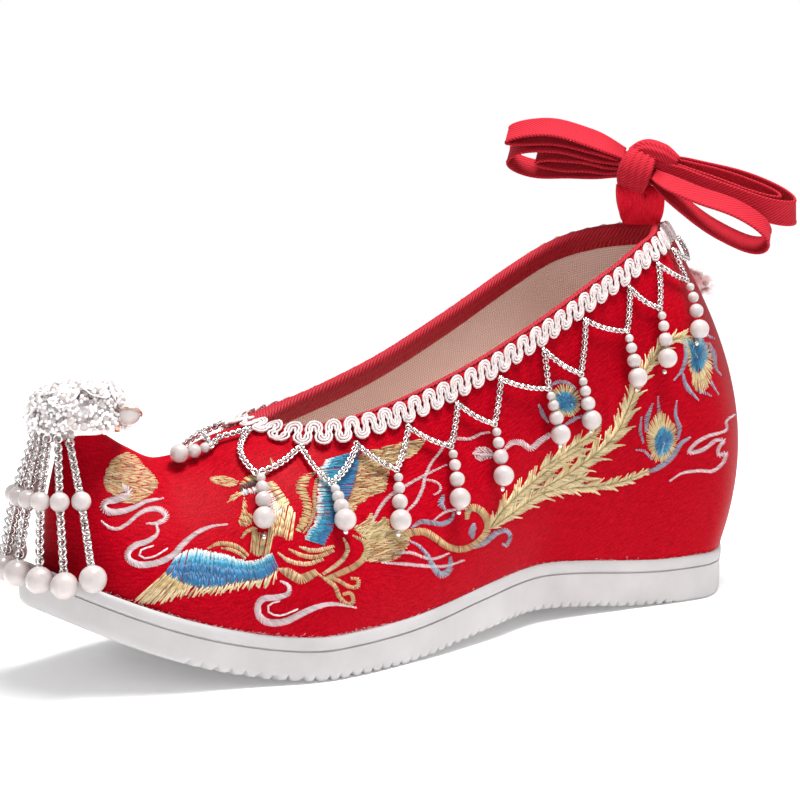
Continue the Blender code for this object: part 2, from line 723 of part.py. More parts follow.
def build_rosette():
    """Domed bead cluster whose underside straddles the crest of the toe."""
    points, top_rows, low_rows = [], [], []
    for share in ROSETTE_RINGS:
        top, low = [], []
        for k in range(ROSETTE_SIDES):
            turn = 2 * math.pi * k / ROSETTE_SIDES
            lobe = 1 + ROSETTE_LOBE_DEPTH * share * math.cos(ROSETTE_LOBES * turn)
            reach = ROSETTE_RADIUS * share * lobe
            at = ROSETTE_AT + reach * math.cos(turn)
            y = reach * math.sin(turn)
            dome = math.sqrt(max(1 - share * share, 0.0)) * (ROSETTE_TOP - ROSETTE_BASE)
            low_z = rosette_floor(at, y)
            rim_z = max(ROSETTE_BASE + 2.5, low_z + 1.2)
            if share < 1:
                low.append(len(points))
                points.append(place(at, y, low_z))
            top.append(len(points))
            points.append(place(at, y, max(ROSETTE_BASE + dome, rim_z)))
        top_rows.append(top)
        low_rows.append(low or top)
    faces = []
    for rows, centre_z in ((top_rows, ROSETTE_TOP), (low_rows, rosette_floor(ROSETTE_AT, 0.0))):
        centre = len(points)
        points.append(place(ROSETTE_AT, 0.0, centre_z))
        first = rows[0]
        faces += [(centre, first[i], first[i - 1]) for i in range(ROSETTE_SIDES)]
        for inner, outer in zip(rows, rows[1:]):
            faces += band_faces(inner, outer, closed=True)
    return add_piece("toe_rosette", points, faces, CLEAR_BEADS)


def rosette_floor(at, y):
    """Underside of the rosette: its rim height, raised where the crest passes under it."""
    crest = read(CREST, "from_heel", "height", min(max(at, CREST[0].from_heel), CREST[-1].from_heel))
    return max(ROSETTE_BASE, crest - CREST_FALL * abs(y) + CREST_OFF)


def build_strand(side, row, name):
    """One tassel strand: chain, middle pearl, chain and end pearl."""
    top = place(
        TASSEL_TOP_AT + TASSEL_TOP_SPREAD * (row.mid_at - TASSEL_TOP_AT),
        side * TASSEL_TOP_SPREAD * row.mid_half,
        TASSEL_TOP_HEIGHT,
    )
    mid = place(row.mid_at, side * row.mid_half, TASSEL_MID_HEIGHT)
    end = place(row.end_at, side * row.end_half, row.end_height)
    down, away = unit(mid - top), unit(end - mid)
    centres, radii = [top], [TASSEL_CHAIN_RADIUS]
    for centre, before, after, pearl in (
        (mid, down, away, TASSEL_MID_PEARL),
        (end, away, away, TASSEL_END_PEARL),
    ):
        centres += [centre - 0.88 * pearl * before, centre - 0.4 * pearl * before]
        centres += [centre + 0.4 * pearl * after, centre + 0.88 * pearl * after]
        radii += [TASSEL_CHAIN_RADIUS, 0.92 * pearl, 0.92 * pearl, TASSEL_CHAIN_RADIUS]
    return tube(name, centres, radii, TASSEL_SIDES, SILVER_CHAIN)


def build_heel_flower():
    """Five-petalled bead flower lying on the back seam."""
    below = wall_point(NEAR, HEEL, FLOWER_DROP + 1.0, 0.0)
    above = wall_point(NEAR, HEEL, FLOWER_DROP - 1.0, 0.0)
    upward = unit(above - below)
    outward = unit(np.cross(np.array([0.0, 1.0, 0.0]), upward))
    outward = outward if outward[0] > 0 else -outward
    across = np.array([0.0, 1.0, 0.0])
    seat = 0.5 * (below + above) + FLOWER_OFF * outward
    points, rows = [], []
    for share, depth in ((0.5, 0.0), (1.0, 0.35), (0.85, 0.8), (0.45, 1.0)):
        row = []
        for k in range(FLOWER_SIDES):
            turn = 2 * math.pi * k / FLOWER_SIDES
            reach = FLOWER_RADIUS * share * (1 + FLOWER_PETAL_DEPTH * math.cos(FLOWER_PETALS * turn))
            flat = reach * (math.cos(turn) * upward + math.sin(turn) * across)
            row.append(len(points))
            points.append(seat + flat + depth * FLOWER_DEPTH * outward)
        rows.append(row)
    faces = [tuple(rows[0]), tuple(rows[-1])]
    for lower, upper in zip(rows, rows[1:]):
        faces += band_faces(lower, upper, closed=True)
    return add_piece("heel_flower", points, faces, IVORY_PEARL)


def tape_profiles(path, width_axis, width, thickness):
    """Corners of a flat tape along a path, with its width along one axis."""
    profiles = []
    for i, centre in enumerate(path):
        along = unit(path[min(i + 1, len(path) - 1)] - path[max(i - 1, 0)])
        face = unit(np.cross(along, width_axis))
        half_w, half_t = 0.5 * width * width_axis, 0.5 * thickness * face
        profiles.append([
            centre - half_w - half_t,
            centre + half_w - half_t,
            centre + half_w + half_t,
            centre - half_w + half_t,
        ])
    return profiles


def build_heel_loop():
    """Satin tab folded over the ribbon at the back of the collar."""
    path = [place(row.from_heel, 0.0, row.height) for row in HEEL_LOOP]
    across = np.array([0.0, 1.0, 0.0])
    profiles = tape_profiles(path, across, HEEL_LOOP_WIDTH, HEEL_LOOP_THICKNESS)
    return swept_strip("heel_loop", profiles, RED_SATIN)


def build_ribbon_pass():
    """Run of ribbon through the heel loop, bunched into a flat oval."""
    profiles = []
    for y in (-PASS_HALF_LENGTH, PASS_HALF_LENGTH):
        ring = []
        for k in range(PASS_SIDES):
            turn = 2 * math.pi * (k + 0.5) / PASS_SIDES
            ahead = PASS_HALF_WIDTH * math.cos(turn)
            height = PASS_HEIGHT + PASS_HALF_DEPTH * math.sin(turn) + PASS_SLOPE * ahead
            ring.append(place(PASS_AT + ahead, y, height))
        profiles.append(ring)
    return swept_strip("ribbon_pass", profiles, RED_TAPE)


def bow_axes(side):
    """Directions of a bow half: along its loops and towards the front."""
    yaw = math.radians(BOW_YAW)
    along = side * np.array([math.cos(yaw), -math.sin(yaw), 0.0])
    return along, np.array([-math.sin(yaw), -math.cos(yaw), 0.0])


def build_knot():
    """Knot of the bow: a squarish wrapped lump."""
    along, front = bow_axes(1)
    centre = place(KNOT_AT, 0.0, KNOT_HEIGHT)
    points, rows = [], []
    for j in range(1, KNOT_RINGS):
        lift = math.pi * j / KNOT_RINGS - math.pi / 2
        row = []
        for k in range(KNOT_SIDES):
            turn = 2 * math.pi * k / KNOT_SIDES
            x, y = (math.copysign(abs(v) ** KNOT_SQUARENESS, v) for v in (math.cos(turn), math.sin(turn)))
            girth = math.cos(lift) ** KNOT_SQUARENESS
            height = math.copysign(abs(math.sin(lift)) ** KNOT_SQUARENESS, lift)
            row.append(len(points))
            offset = girth * (x * KNOT_HALF_LENGTH * along + y * KNOT_HALF_DEPTH * front)
            points.append(centre + offset + height * KNOT_HALF_HEIGHT * UP)
        rows.append(row)
    faces = [tuple(rows[0]), tuple(rows[-1])]
    for lower, upper in zip(rows, rows[1:]):
        faces += band_faces(lower, upper, closed=True)
    return add_piece("bow_knot", points, faces, RED_TAPE)


def build_bow_loop(row):
    """One ribbon loop: out from the knot, round its end and back."""
    along, front = bow_axes(row.side)
    tilt = math.radians(row.tilt)
    width_axis = math.cos(tilt) * UP + math.sin(tilt) * front
    across = math.cos(tilt) * front - math.sin(tilt) * UP
    base = place(KNOT_AT, 0.0, KNOT_HEIGHT) + (KNOT_HALF_LENGTH + GAP) * along + row.ahead * front
    path = []
    for k in range(LOOP_STEPS + 1):
        turn = (math.pi - LOOP_MOUTH) * (1 - 2 * k / LOOP_STEPS)
        share = (1 + math.cos(turn)) / 2
        gap = row.root * (1 - share ** 6)
        gap += (0.5 * row.opening - 0.8 * row.root) * abs(math.sin(turn)) * share / 0.65
        lift = row.lift + row.rise * share - row.droop * share ** 2
        path.append(base + row.length * share * along + math.copysign(gap, turn) * across + lift * UP)
    return swept_strip(row.name, tape_profiles(path, width_axis, TAPE_WIDTH, TAPE_THICKNESS), RED_TAPE)


def set_on_floor(pieces):
    """Move the mesh points so the whole shoe is centred over the origin, standing on the floor."""
    corners = np.array([v.co[:] for piece in pieces for v in piece.data.vertices])
    low, high = corners.min(axis=0), corners.max(axis=0)
    shift = np.array([-(low[0] + high[0]) / 2, -(low[1] + high[1]) / 2, -low[2]])
    for piece in pieces:
        for vertex in piece.data.vertices:
            vertex.co = tuple(np.array(vertex.co[:]) + shift)


def main():
    clear_scene()
    pieces = [build_outsole(), build_upper(), build_insole(), build_binding(), build_braid()]
    for side, word in ((NEAR, "near"), (FAR, "far")):
        pieces.append(build_chain(side, f"chain_swag_{word}"))
        for number, row in enumerate(SWAGS, start=1):
            pieces.append(build_drop(side, row, f"pearl_drop_{word}_{number:02d}"))
        for number, row in enumerate(TASSEL_STRANDS, start=1):
            pieces.append(build_strand(side, row, f"tassel_strand_{word}_{number}"))
    pieces += [build_throat_drop(), build_rosette(), build_heel_flower()]
    pieces += [build_heel_loop(), build_ribbon_pass(), build_knot()]
    pieces += [build_bow_loop(row) for row in BOW_LOOPS]
    set_on_floor(pieces)


main()
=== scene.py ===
import math
import random
from functools import lru_cache

import bmesh
import bpy
import numpy as np
from mathutils import Matrix, Vector
from mathutils.bvhtree import BVHTree


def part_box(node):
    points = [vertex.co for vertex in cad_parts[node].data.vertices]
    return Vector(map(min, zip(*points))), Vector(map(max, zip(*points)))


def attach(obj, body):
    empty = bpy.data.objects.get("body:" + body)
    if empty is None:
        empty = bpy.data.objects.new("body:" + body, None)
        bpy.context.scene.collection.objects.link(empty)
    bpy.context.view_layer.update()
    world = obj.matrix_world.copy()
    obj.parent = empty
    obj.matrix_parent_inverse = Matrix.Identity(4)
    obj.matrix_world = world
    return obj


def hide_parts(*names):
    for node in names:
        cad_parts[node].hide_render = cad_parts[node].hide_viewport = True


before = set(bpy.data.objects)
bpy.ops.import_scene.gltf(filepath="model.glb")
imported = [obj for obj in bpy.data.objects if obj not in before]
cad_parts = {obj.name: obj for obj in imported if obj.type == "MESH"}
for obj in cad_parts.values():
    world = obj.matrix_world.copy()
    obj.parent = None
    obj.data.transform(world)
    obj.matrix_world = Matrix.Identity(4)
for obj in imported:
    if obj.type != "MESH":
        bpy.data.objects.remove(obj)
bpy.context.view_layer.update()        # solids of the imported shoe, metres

mm = 0.001
soleLength = 250.0       # mm, heel to toe
goldenTurn = 2.39996     # radians from one bead to the next in an even spiral
bandScale = 0.3142       # wave texture's scale for bands 1 mm apart on a map in mm
near, far = -1, 1
up = np.array([0.0, 0.0, 1.0])
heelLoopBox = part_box("heel_loop")
shift = np.array([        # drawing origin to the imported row's origin, mm
    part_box("outsole")[1][0] / mm - soleLength / 2,
    (heelLoopBox[0][1] + heelLoopBox[1][1]) / 2 / mm,
    0.0,
])
print("frame loaded, shift in mm", [round(float(v), 3) for v in shift])


# small helpers

def toLinear(code):       # sRGB hex to linear rgba
    parts = [int(code[i:i + 2], 16) / 255 for i in (1, 3, 5)]
    return (*[c / 12.92 if c <= 0.04045 else ((c + 0.055) / 1.055) ** 2.4 for c in parts], 1.0)


def addNode(tree, kind, feed=None, **settings):
    node = tree.nodes.new(kind)
    for key, value in settings.items():
        setattr(node, key, value)
    for key, value in (feed or {}).items():
        if isinstance(value, bpy.types.NodeSocket):
            tree.links.new(value, node.inputs[key])
        else:
            node.inputs[key].default_value = value
    return node


def startMaterial(name, values):
    material = bpy.data.materials.new(name)
    material.use_nodes = True
    shader = material.node_tree.nodes["Principled BSDF"]
    for key, value in values.items():
        shader.inputs[key].default_value = value
    return material, material.node_tree, shader


def paintRamp(ramp, stops):     # colour ramp stops as (place, hex)
    elements = ramp.color_ramp.elements
    while len(elements) < len(stops):
        elements.new(0.5)
    for element, (place, code) in zip(elements, stops):
        element.position = place
        element.color = toLinear(code)


def unit(vector):
    return vector / np.linalg.norm(vector)


def ease(t):
    t = min(max(t, 0.0), 1.0)
    return t * t * (3 - 2 * t)


def roundCurve(knots, count):    # smooth path through knots, evenly spaced
    knots = np.asarray(knots, dtype=float)
    padded = np.vstack([2 * knots[0] - knots[1], knots, 2 * knots[-1] - knots[-2]])
    t = np.linspace(0, 1, 13)[:-1, None]
    runs = []
    for a, b, c, d in zip(padded, padded[1:], padded[2:], padded[3:]):
        runs.append(0.5 * (2 * b + (c - a) * t + (2 * a - 5 * b + 4 * c - d) * t ** 2
                           + (3 * b - a - 3 * c + d) * t ** 3))
    fine = np.vstack(runs + [knots[-1:]])
    steps = np.linalg.norm(np.diff(fine, axis=0), axis=1)
    length = np.concatenate([[0], np.cumsum(steps)])
    at = np.linspace(0, length[-1], count)
    return np.column_stack([np.interp(at, length, fine[:, k]) for k in range(knots.shape[1])])


def gridPatch(points, closeAlong=False, closeAcross=False, uv=None):
    points = np.asarray(points)
    n, m = points.shape[:2]
    faces, corners = [], []
    for i in range(n if closeAlong else n - 1):
        for j in range(m if closeAcross else m - 1):
            ring = ((i, j), (i + 1, j), (i + 1, j + 1), (i, j + 1))
            faces.append([(a % n) * m + b % m for a, b in ring])
            if uv is not None:
                corners += [uv[a][b] for a, b in ring]
    return points.reshape(-1, 3), faces, corners


def closeMesh(mesh):      # merge doubles, turn faces outward, soften
    work = bmesh.new()
    work.from_mesh(mesh)
    bmesh.ops.remove_doubles(work, verts=work.verts, dist=2e-6)
    bmesh.ops.recalc_face_normals(work, faces=work.faces)
    work.to_mesh(mesh)
    work.free()
    mesh.shade_smooth()


def addPiece(name, mesh, replaced=()):
    piece = bpy.data.objects.new(name, mesh)
    bpy.context.scene.collection.objects.link(piece)
    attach(piece, "root")
    if replaced:
        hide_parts(*replaced)
    return piece


def makePiece(name, points, faces, materials, replaced=(), corners=None, which=None, sharp=None):
    mesh = bpy.data.meshes.new(name)
    mesh.from_pydata([tuple((np.asarray(p) + shift) * mm) for p in points], [], faces)
    for material in materials:
        mesh.materials.append(material)
    if corners:
        mesh.uv_layers.new(name="UVMap").data.foreach_set("uv", np.ravel(corners))
    if which is not None:
        mesh.polygons.foreach_set("material_index", which)
    closeMesh(mesh)
    if sharp:
        mesh.set_sharp_from_angle(angle=math.radians(sharp))
    return addPiece(name, mesh, replaced)


# node trees for what repeats

def startTree(name, inputs):
    tree = bpy.data.node_groups.new(name, "GeometryNodeTree")
    tree.interface.new_socket("Geometry", in_out="INPUT", socket_type="NodeSocketGeometry")
    tree.interface.new_socket("Geometry", in_out="OUTPUT", socket_type="NodeSocketGeometry")
    for label, kind in inputs:
        tree.interface.new_socket(label, in_out="INPUT", socket_type=kind)
    return tree, tree.nodes.new("NodeGroupInput").outputs


def endTree(tree, geometry, material):      # realize, set material, out
    real = addNode(tree, "GeometryNodeRealizeInstances", {"Geometry": geometry})
    soft = addNode(tree, "GeometryNodeSetShadeSmooth", {"Geometry": real.outputs[0]})
    dress = addNode(tree, "GeometryNodeSetMaterial", {"Geometry": soft.outputs[0], "Material": material})
    addNode(tree, "NodeGroupOutput", {"Geometry": dress.outputs[0]})


def scatterTree():      # one shape on each point, by its own turn and size
    tree, given = startTree("scatterShapes",
                            [("Shape", "NodeSocketObject"), ("Finish", "NodeSocketMaterial")])
    shape = addNode(tree, "GeometryNodeObjectInfo", {"Object": given["Shape"]})
    turn = addNode(tree, "GeometryNodeInputNamedAttribute", {"Name": "turn"}, data_type="QUATERNION")
    size = addNode(tree, "GeometryNodeInputNamedAttribute", {"Name": "size"}, data_type="FLOAT_VECTOR")
    placed = addNode(tree, "GeometryNodeInstanceOnPoints", {
        "Points": given["Geometry"], "Instance": shape.outputs["Geometry"],
        "Rotation": turn.outputs["Attribute"], "Scale": size.outputs["Attribute"]})
    endTree(tree, placed.outputs[0], given["Finish"])
    return tree


def linkTree():        # chain links along paths, turned an eighth to the left and right by turns
    tree, given = startTree("linkChains", [
        ("Link", "NodeSocketObject"), ("Link pitch", "NodeSocketFloat"), ("Finish", "NodeSocketMaterial")])
    curve = addNode(tree, "GeometryNodeMeshToCurve", {"Mesh": given["Geometry"]})
    even = addNode(tree, "GeometryNodeResampleCurve", {"Curve": curve.outputs[0]}, mode="LENGTH")
    tree.links.new(given["Link pitch"], even.inputs["Length"])
    along = addNode(tree, "GeometryNodeInputTangent")
    lead = addNode(tree, "FunctionNodeAlignRotationToVector", {"Vector": along.outputs[0]}, axis="X")
    number = addNode(tree, "GeometryNodeInputIndex")
    odd = addNode(tree, "ShaderNodeMath", {0: number.outputs[0], 1: 2.0}, operation="MODULO")
    lean = addNode(tree, "ShaderNodeMath", {0: odd.outputs[0], 1: math.pi / 2, 2: math.pi / 4},
                   operation="MULTIPLY_ADD")
    spin = addNode(tree, "FunctionNodeAxisAngleToRotation", {"Axis": (1, 0, 0), "Angle": lean.outputs[0]})
    turned = addNode(tree, "FunctionNodeRotateRotation", {
        "Rotation": lead.outputs[0], "Rotate By": spin.outputs[0]}, rotation_space="LOCAL")
    shape = addNode(tree, "GeometryNodeObjectInfo", {"Object": given["Link"]})
    placed = addNode(tree, "GeometryNodeInstanceOnPoints", {
        "Points": even.outputs[0], "Instance": shape.outputs["Geometry"], "Rotation": turned.outputs[0]})
    endTree(tree, placed.outputs[0], given["Finish"])
    return tree


def cordTree():        # round cord along paths
    tree, given = startTree("layCords", [
        ("Cord radius", "NodeSocketFloat"), ("Sides", "NodeSocketInt"), ("Finish", "NodeSocketMaterial")])
    curve = addNode(tree, "GeometryNodeMeshToCurve", {"Mesh": given["Geometry"]})
    ring = addNode(tree, "GeometryNodeCurvePrimitiveCircle", {
        "Resolution": given["Sides"], "Radius": given["Cord radius"]})
    skin = addNode(tree, "GeometryNodeCurveToMesh", {
        "Curve": curve.outputs[0], "Profile Curve": ring.outputs[0], "Fill Caps": True})
    endTree(tree, skin.outputs[0], given["Finish"])
    return tree


def growPiece(name, seed, tree, values, replaced=()):     # run a tree, keep a plain mesh
    carrier = bpy.data.objects.new(name + "Seed", seed)
    bpy.context.scene.collection.objects.link(carrier)
    modifier = carrier.modifiers.new("grow", "NODES")
    modifier.node_group = tree
    for item in tree.interface.items_tree:
        if item.item_type == "SOCKET" and item.in_out == "INPUT" and item.name in values:
            modifier[item.identifier] = values[item.name]
    grown = carrier.evaluated_get(bpy.context.evaluated_depsgraph_get())
    mesh = bpy.data.meshes.new_from_object(grown)
    carrier.modifiers.remove(modifier)
    bpy.data.objects.remove(carrier)
    mesh.name = name
    print("grown", name, len(mesh.polygons), "faces")
    return addPiece(name, mesh, replaced)


def pathSeed(name, paths, closed=False):        # polylines in mm for the cord and chain trees
    points, edges = [], []
    for path in paths:
        start = len(points)
        points += [tuple((np.asarray(p) + shift) * mm) for p in path]
        edges += [(i, i + 1) for i in range(start, len(points) - 1)]
        if closed:
            edges.append((len(points) - 1, start))
    seed = bpy.data.meshes.new(name)
    seed.from_pydata(points, edges, [])
    return seed


def pointSeed(name, marks):       # marks: dicts of at, along, out, size and colour
    seed = bpy.data.meshes.new(name)
    seed.from_pydata([tuple((np.asarray(m["at"]) + shift) * mm) for m in marks], [], [])
    turns, sizes, colours = [], [], []
    for mark in marks:
        along, out = unit(np.asarray(mark["along"], float)), np.asarray(mark["out"], float)
        out = unit(out - along * np.dot(out, along))
        side = np.cross(out, along)
        turns += list(Matrix(np.column_stack([along, side, out]).tolist()).to_quaternion())
        sizes += [s * mm for s in mark["size"]]
        colours += list(mark.get("colour", (1, 1, 1, 1)))
    seed.attributes.new("turn", "QUATERNION", "POINT").data.foreach_set("value", turns)
    seed.attributes.new("size", "FLOAT_VECTOR", "POINT").data.foreach_set("vector", sizes)
    seed.attributes.new("threadColour", "FLOAT_COLOR", "POINT").data.foreach_set("color", colours)
    return seed


def scatterPiece(name, marks, shape, finish, replaced=()):       # one shape on every mark
    values = {"Shape": shape, "Finish": finish}
    growPiece(name, pointSeed(name + "Marks", marks), scatter, values, replaced)


def shapeObject(name, points, faces):       # unit shape for the trees, removed at the end
    mesh = bpy.data.meshes.new(name)
    mesh.from_pydata([tuple(map(float, p)) for p in points], [], faces)
    closeMesh(mesh)
    shape = bpy.data.objects.new(name, mesh)
    bpy.context.scene.collection.objects.link(shape)
    unitShapes.append(shape)
    return shape


def ballShape(name, sides, rings):
    points = [(0, 0, -1)]
    for j in range(1, rings):
        lift = math.pi * j / rings - math.pi / 2
        for k in range(sides):
            turn = 2 * math.pi * k / sides
            points.append((math.cos(lift) * math.cos(turn), math.cos(lift) * math.sin(turn), math.sin(lift)))
    points.append((0, 0, 1))
    last = len(points) - 1
    faces = [(0, 1 + (k + 1) % sides, 1 + k) for k in range(sides)]
    for j in range(rings - 2):
        a, b = 1 + j * sides, 1 + (j + 1) * sides
        faces += [(a + k, a + (k + 1) % sides, b + (k + 1) % sides, b + k) for k in range(sides)]
    a = 1 + (rings - 2) * sides
    faces += [(last, a + k, a + (k + 1) % sides) for k in range(sides)]
    return shapeObject(name, points, faces)


unitShapes = []
scatter, links, cords = scatterTree(), linkTree(), cordTree()


# materials, each from the real stuff

# woven polyester satin: smooth red, nearly without gloss, with fine thread grain and lighter specks painted
# into its colour as glints (painted highlights)
def redSatin(name, shade, light):
    material, tree, shader = startMaterial(name, {"Roughness": 0.42, "Specular IOR Level": 0.02})
    place = addNode(tree, "ShaderNodeUVMap", uv_map="UVMap")
    # threads 0.6 mm, drawn coarse to show
    warp = addNode(tree, "ShaderNodeMapping", {"Vector": place.outputs[0], "Scale": (0.35, 1.7, 1)})
    grain = addNode(tree, "ShaderNodeTexNoise", {"Vector": warp.outputs[0], "Scale": 1.0, "Detail": 3.0})
    speck = addNode(tree, "ShaderNodeTexNoise", {"Vector": place.outputs[0], "Scale": 1.9, "Detail": 2.0})
    # the thread grain is the cloth's own; the lighter specks it is multiplied with are painted glints
    grainAndPaintedGlint = addNode(tree, "ShaderNodeMath", {0: grain.outputs["Fac"], 1: speck.outputs["Fac"]},
                    operation="MULTIPLY")
    tone = addNode(tree, "ShaderNodeValToRGB", {"Fac": grainAndPaintedGlint.outputs[0]})
    paintRamp(tone, [(0.14, shade), (0.4, light)])
    tree.links.new(tone.outputs[0], shader.inputs["Base Color"])
    relief = addNode(tree, "ShaderNodeBump", {
        "Height": speck.outputs["Fac"], "Strength": 0.5, "Distance": 0.0002})
    tree.links.new(relief.outputs[0], shader.inputs["Normal"])
    return material


def liningCanvas():      # plain-weave cotton lining: pale beige with a dotted over-and-under grid
    material, tree, shader = startMaterial("plainWeaveCottonBeige", {
        "Roughness": 0.9, "Specular IOR Level": 0.2})
    place = addNode(tree, "ShaderNodeUVMap", uv_map="UVMap")
    # threads 0.9 mm, drawn coarse to show
    warp, weft = (addNode(tree, "ShaderNodeTexWave", {"Vector": place.outputs[0], "Scale": bandScale / 0.9},
                          wave_type="BANDS", bands_direction=way) for way in "XY")
    weave = addNode(tree, "ShaderNodeMath", {0: warp.outputs["Fac"], 1: weft.outputs["Fac"]},
                    operation="MULTIPLY")
    tone = addNode(tree, "ShaderNodeValToRGB", {"Fac": weave.outputs[0]})
    # the beige is the cotton's own; its pink tint is painted red bounce light from the satin
    paintRamp(tone, [(0.0, "#D6BDB2"), (0.7, "#FBE9E0")])
    tree.links.new(tone.outputs[0], shader.inputs["Base Color"])
    relief = addNode(tree, "ShaderNodeBump", {
        "Height": weave.outputs[0], "Strength": 0.5, "Distance": 0.0002})
    tree.links.new(relief.outputs[0], shader.inputs["Normal"])
    return material


# a finish that drifts between two colours, with clouds counted per metre, and its grit if it has any
def mottled(name, values, clouds, detail, stops, grit=None):
    material, tree, shader = startMaterial(name, values)
    place = addNode(tree, "ShaderNodeTexCoord").outputs["Object"]
    cloud = addNode(tree, "ShaderNodeTexNoise", {"Vector": place, "Scale": clouds, "Detail": detail})
    tone = addNode(tree, "ShaderNodeValToRGB", {"Fac": cloud.outputs["Fac"]})
    paintRamp(tone, stops)
    tree.links.new(tone.outputs[0], shader.inputs["Base Color"])
    if grit:
        grain = addNode(tree, "ShaderNodeTexNoise", {"Vector": place, "Scale": grit["grains"], "Detail": 2.0})
        relief = addNode(tree, "ShaderNodeBump", {
            "Height": grain.outputs["Fac"], "Strength": grit["strength"], "Distance": grit["depth"]})
        tree.links.new(relief.outputs[0], shader.inputs["Normal"])
    return material


# a finish with ribs across the piece's own map, slanted by degrees and a pitch in mm apart
def ribbed(name, values, slant, pitch, waver, stops, strength, depth):
    material, tree, shader = startMaterial(name, values)
    place = addNode(tree, "ShaderNodeUVMap", uv_map="UVMap")
    turned = addNode(tree, "ShaderNodeMapping", {
        "Vector": place.outputs[0], "Rotation": (0, 0, math.radians(slant))})
    rib = addNode(tree, "ShaderNodeTexWave", {
        "Vector": turned.outputs[0], "Scale": bandScale / pitch, "Distortion": waver},
        wave_type="BANDS", bands_direction="X")
    tone = addNode(tree, "ShaderNodeValToRGB", {"Fac": rib.outputs["Fac"]})
    paintRamp(tone, stops)
    tree.links.new(tone.outputs[0], shader.inputs["Base Color"])
    relief = addNode(tree, "ShaderNodeBump", {
        "Height": rib.outputs["Fac"], "Strength": strength, "Distance": depth})
    tree.links.new(relief.outputs[0], shader.inputs["Normal"])
    return material


def rayonThread():       # machine embroidery in rayon: glossy threads, each colour from the stitch itself
    material, tree, shader = startMaterial("embroideredRayonThread", {
        "Roughness": 0.38, "Specular IOR Level": 0.55, "Sheen Weight": 0.15})
    own = addNode(tree, "ShaderNodeAttribute", attribute_name="threadColour")
    place = addNode(tree, "ShaderNodeTexCoord")
    ply = addNode(tree, "ShaderNodeTexNoise", {
        "Vector": place.outputs["Object"], "Scale": 1800.0, "Detail": 1.0})
    shade = addNode(tree, "ShaderNodeMapRange", {"Value": ply.outputs["Fac"], "To Min": 0.78, "To Max": 1.12})
    dyed = addNode(tree, "ShaderNodeMixRGB", {
        "Fac": 1.0, "Color1": own.outputs["Color"], "Color2": shade.outputs[0]}, blend_type="MULTIPLY")
    tree.links.new(dyed.outputs[0], shader.inputs["Base Color"])
    return material


satin = redSatin("wovenPolyesterSatinRed", "#8D000F", "#BA081E")
# a lighter copy of the satin for the heel tab: partly the ribbon's own pinker red, partly painted light
# against the shade the bow casts on the tab
paintedLightTabSatin = redSatin("wovenPolyesterRibbonRed", "#CE1026", "#E4283C")
canvas = liningCanvas()
# moulded foam rubber: matt grey-white with faint mottling and fine grit
rubber = mottled("mouldedRubberWhite", {"Roughness": 0.55, "Specular IOR Level": 0.35}, 90.0, 4.0,
                 [(0.3, "#B3B0B0"), (0.7, "#BEBBBB")], {"grains": 1600.0, "strength": 0.2, "depth": 0.0001})
# rayon corded binding: deep red with slanting ribs over its roll
corded = ribbed("cordedRayonBindingRed", {"Roughness": 0.6, "Specular IOR Level": 0.3}, 38, 1.15, 0.8,
                [(0.1, "#93091B"), (0.8, "#B8132A")], 0.6, 0.0004)
# cotton twill tape: matt red with fine slanting wales, drawn coarse to show
twill = ribbed("twillTapeRed", {"Roughness": 0.8, "Specular IOR Level": 0.2, "Sheen Weight": 0.03,
                                "Sheen Tint": toLinear("#FF8090")}, 50, 0.75, 0.5,
               [(0.1, "#950A1C"), (0.85, "#C01F31")], 0.4, 0.0002)
# twisted rayon cord: soft white, mottled at random towards a darker pink that is painted shade and red bounce
# from the satin
gimp = mottled("twistedRayonCordWhite", {"Roughness": 0.55, "Specular IOR Level": 0.3, "Sheen Weight": 0.05},
               1500.0, 2.0, [(0.3, "#C5B7B6"), (0.65, "#DED2D0")],
               {"grains": 1500.0, "strength": 0.4, "depth": 0.0002})
# silver-plated brass wire: bright metal with small tarnish specks
silver = mottled("platedWireSilver", {"Metallic": 1.0, "Roughness": 0.22}, 700.0, 3.0,
                 [(0.32, "#ADA29F"), (0.52, "#F1EEEC")])
# pearl lacquer on glass: greyish ivory under a clear bright spot
pearl = mottled("lacqueredGlassPearlIvory", {
    "Roughness": 0.35, "Coat Weight": 1.0, "Coat Roughness": 0.06, "Specular IOR Level": 0.5}, 240.0, 2.0,
    [(0.3, "#B6ABA8"), (0.7, "#CBC1BE")])
# stiff silk organza: soft white petals with a faint pink cast and a dull sheen
petal = mottled("silkOrganzaWhite", {"Roughness": 0.6, "Specular IOR Level": 0.3}, 260.0, 3.0,
                [(0.3, "#F5EFEF"), (0.65, "#FDFBFB")])
thread = rayonThread()
# copper-toned craft wire: thin pinkish gold
wire = mottled("drawnWireRoseGold", {"Metallic": 1.0, "Roughness": 0.25}, 900.0, 2.0,
               [(0.3, "#C98F7C"), (0.7, "#EBC0AC")])
# loose cotton fibre and dried glue: pale pink-white fuzz
lint = mottled("cottonLintPale", {"Roughness": 0.9, "Specular IOR Level": 0.1}, 500.0, 2.0,
               [(0.35, "#E8A9B0"), (0.6, "#F8EEEE")])
print("materials ready")


# camera, light and floor

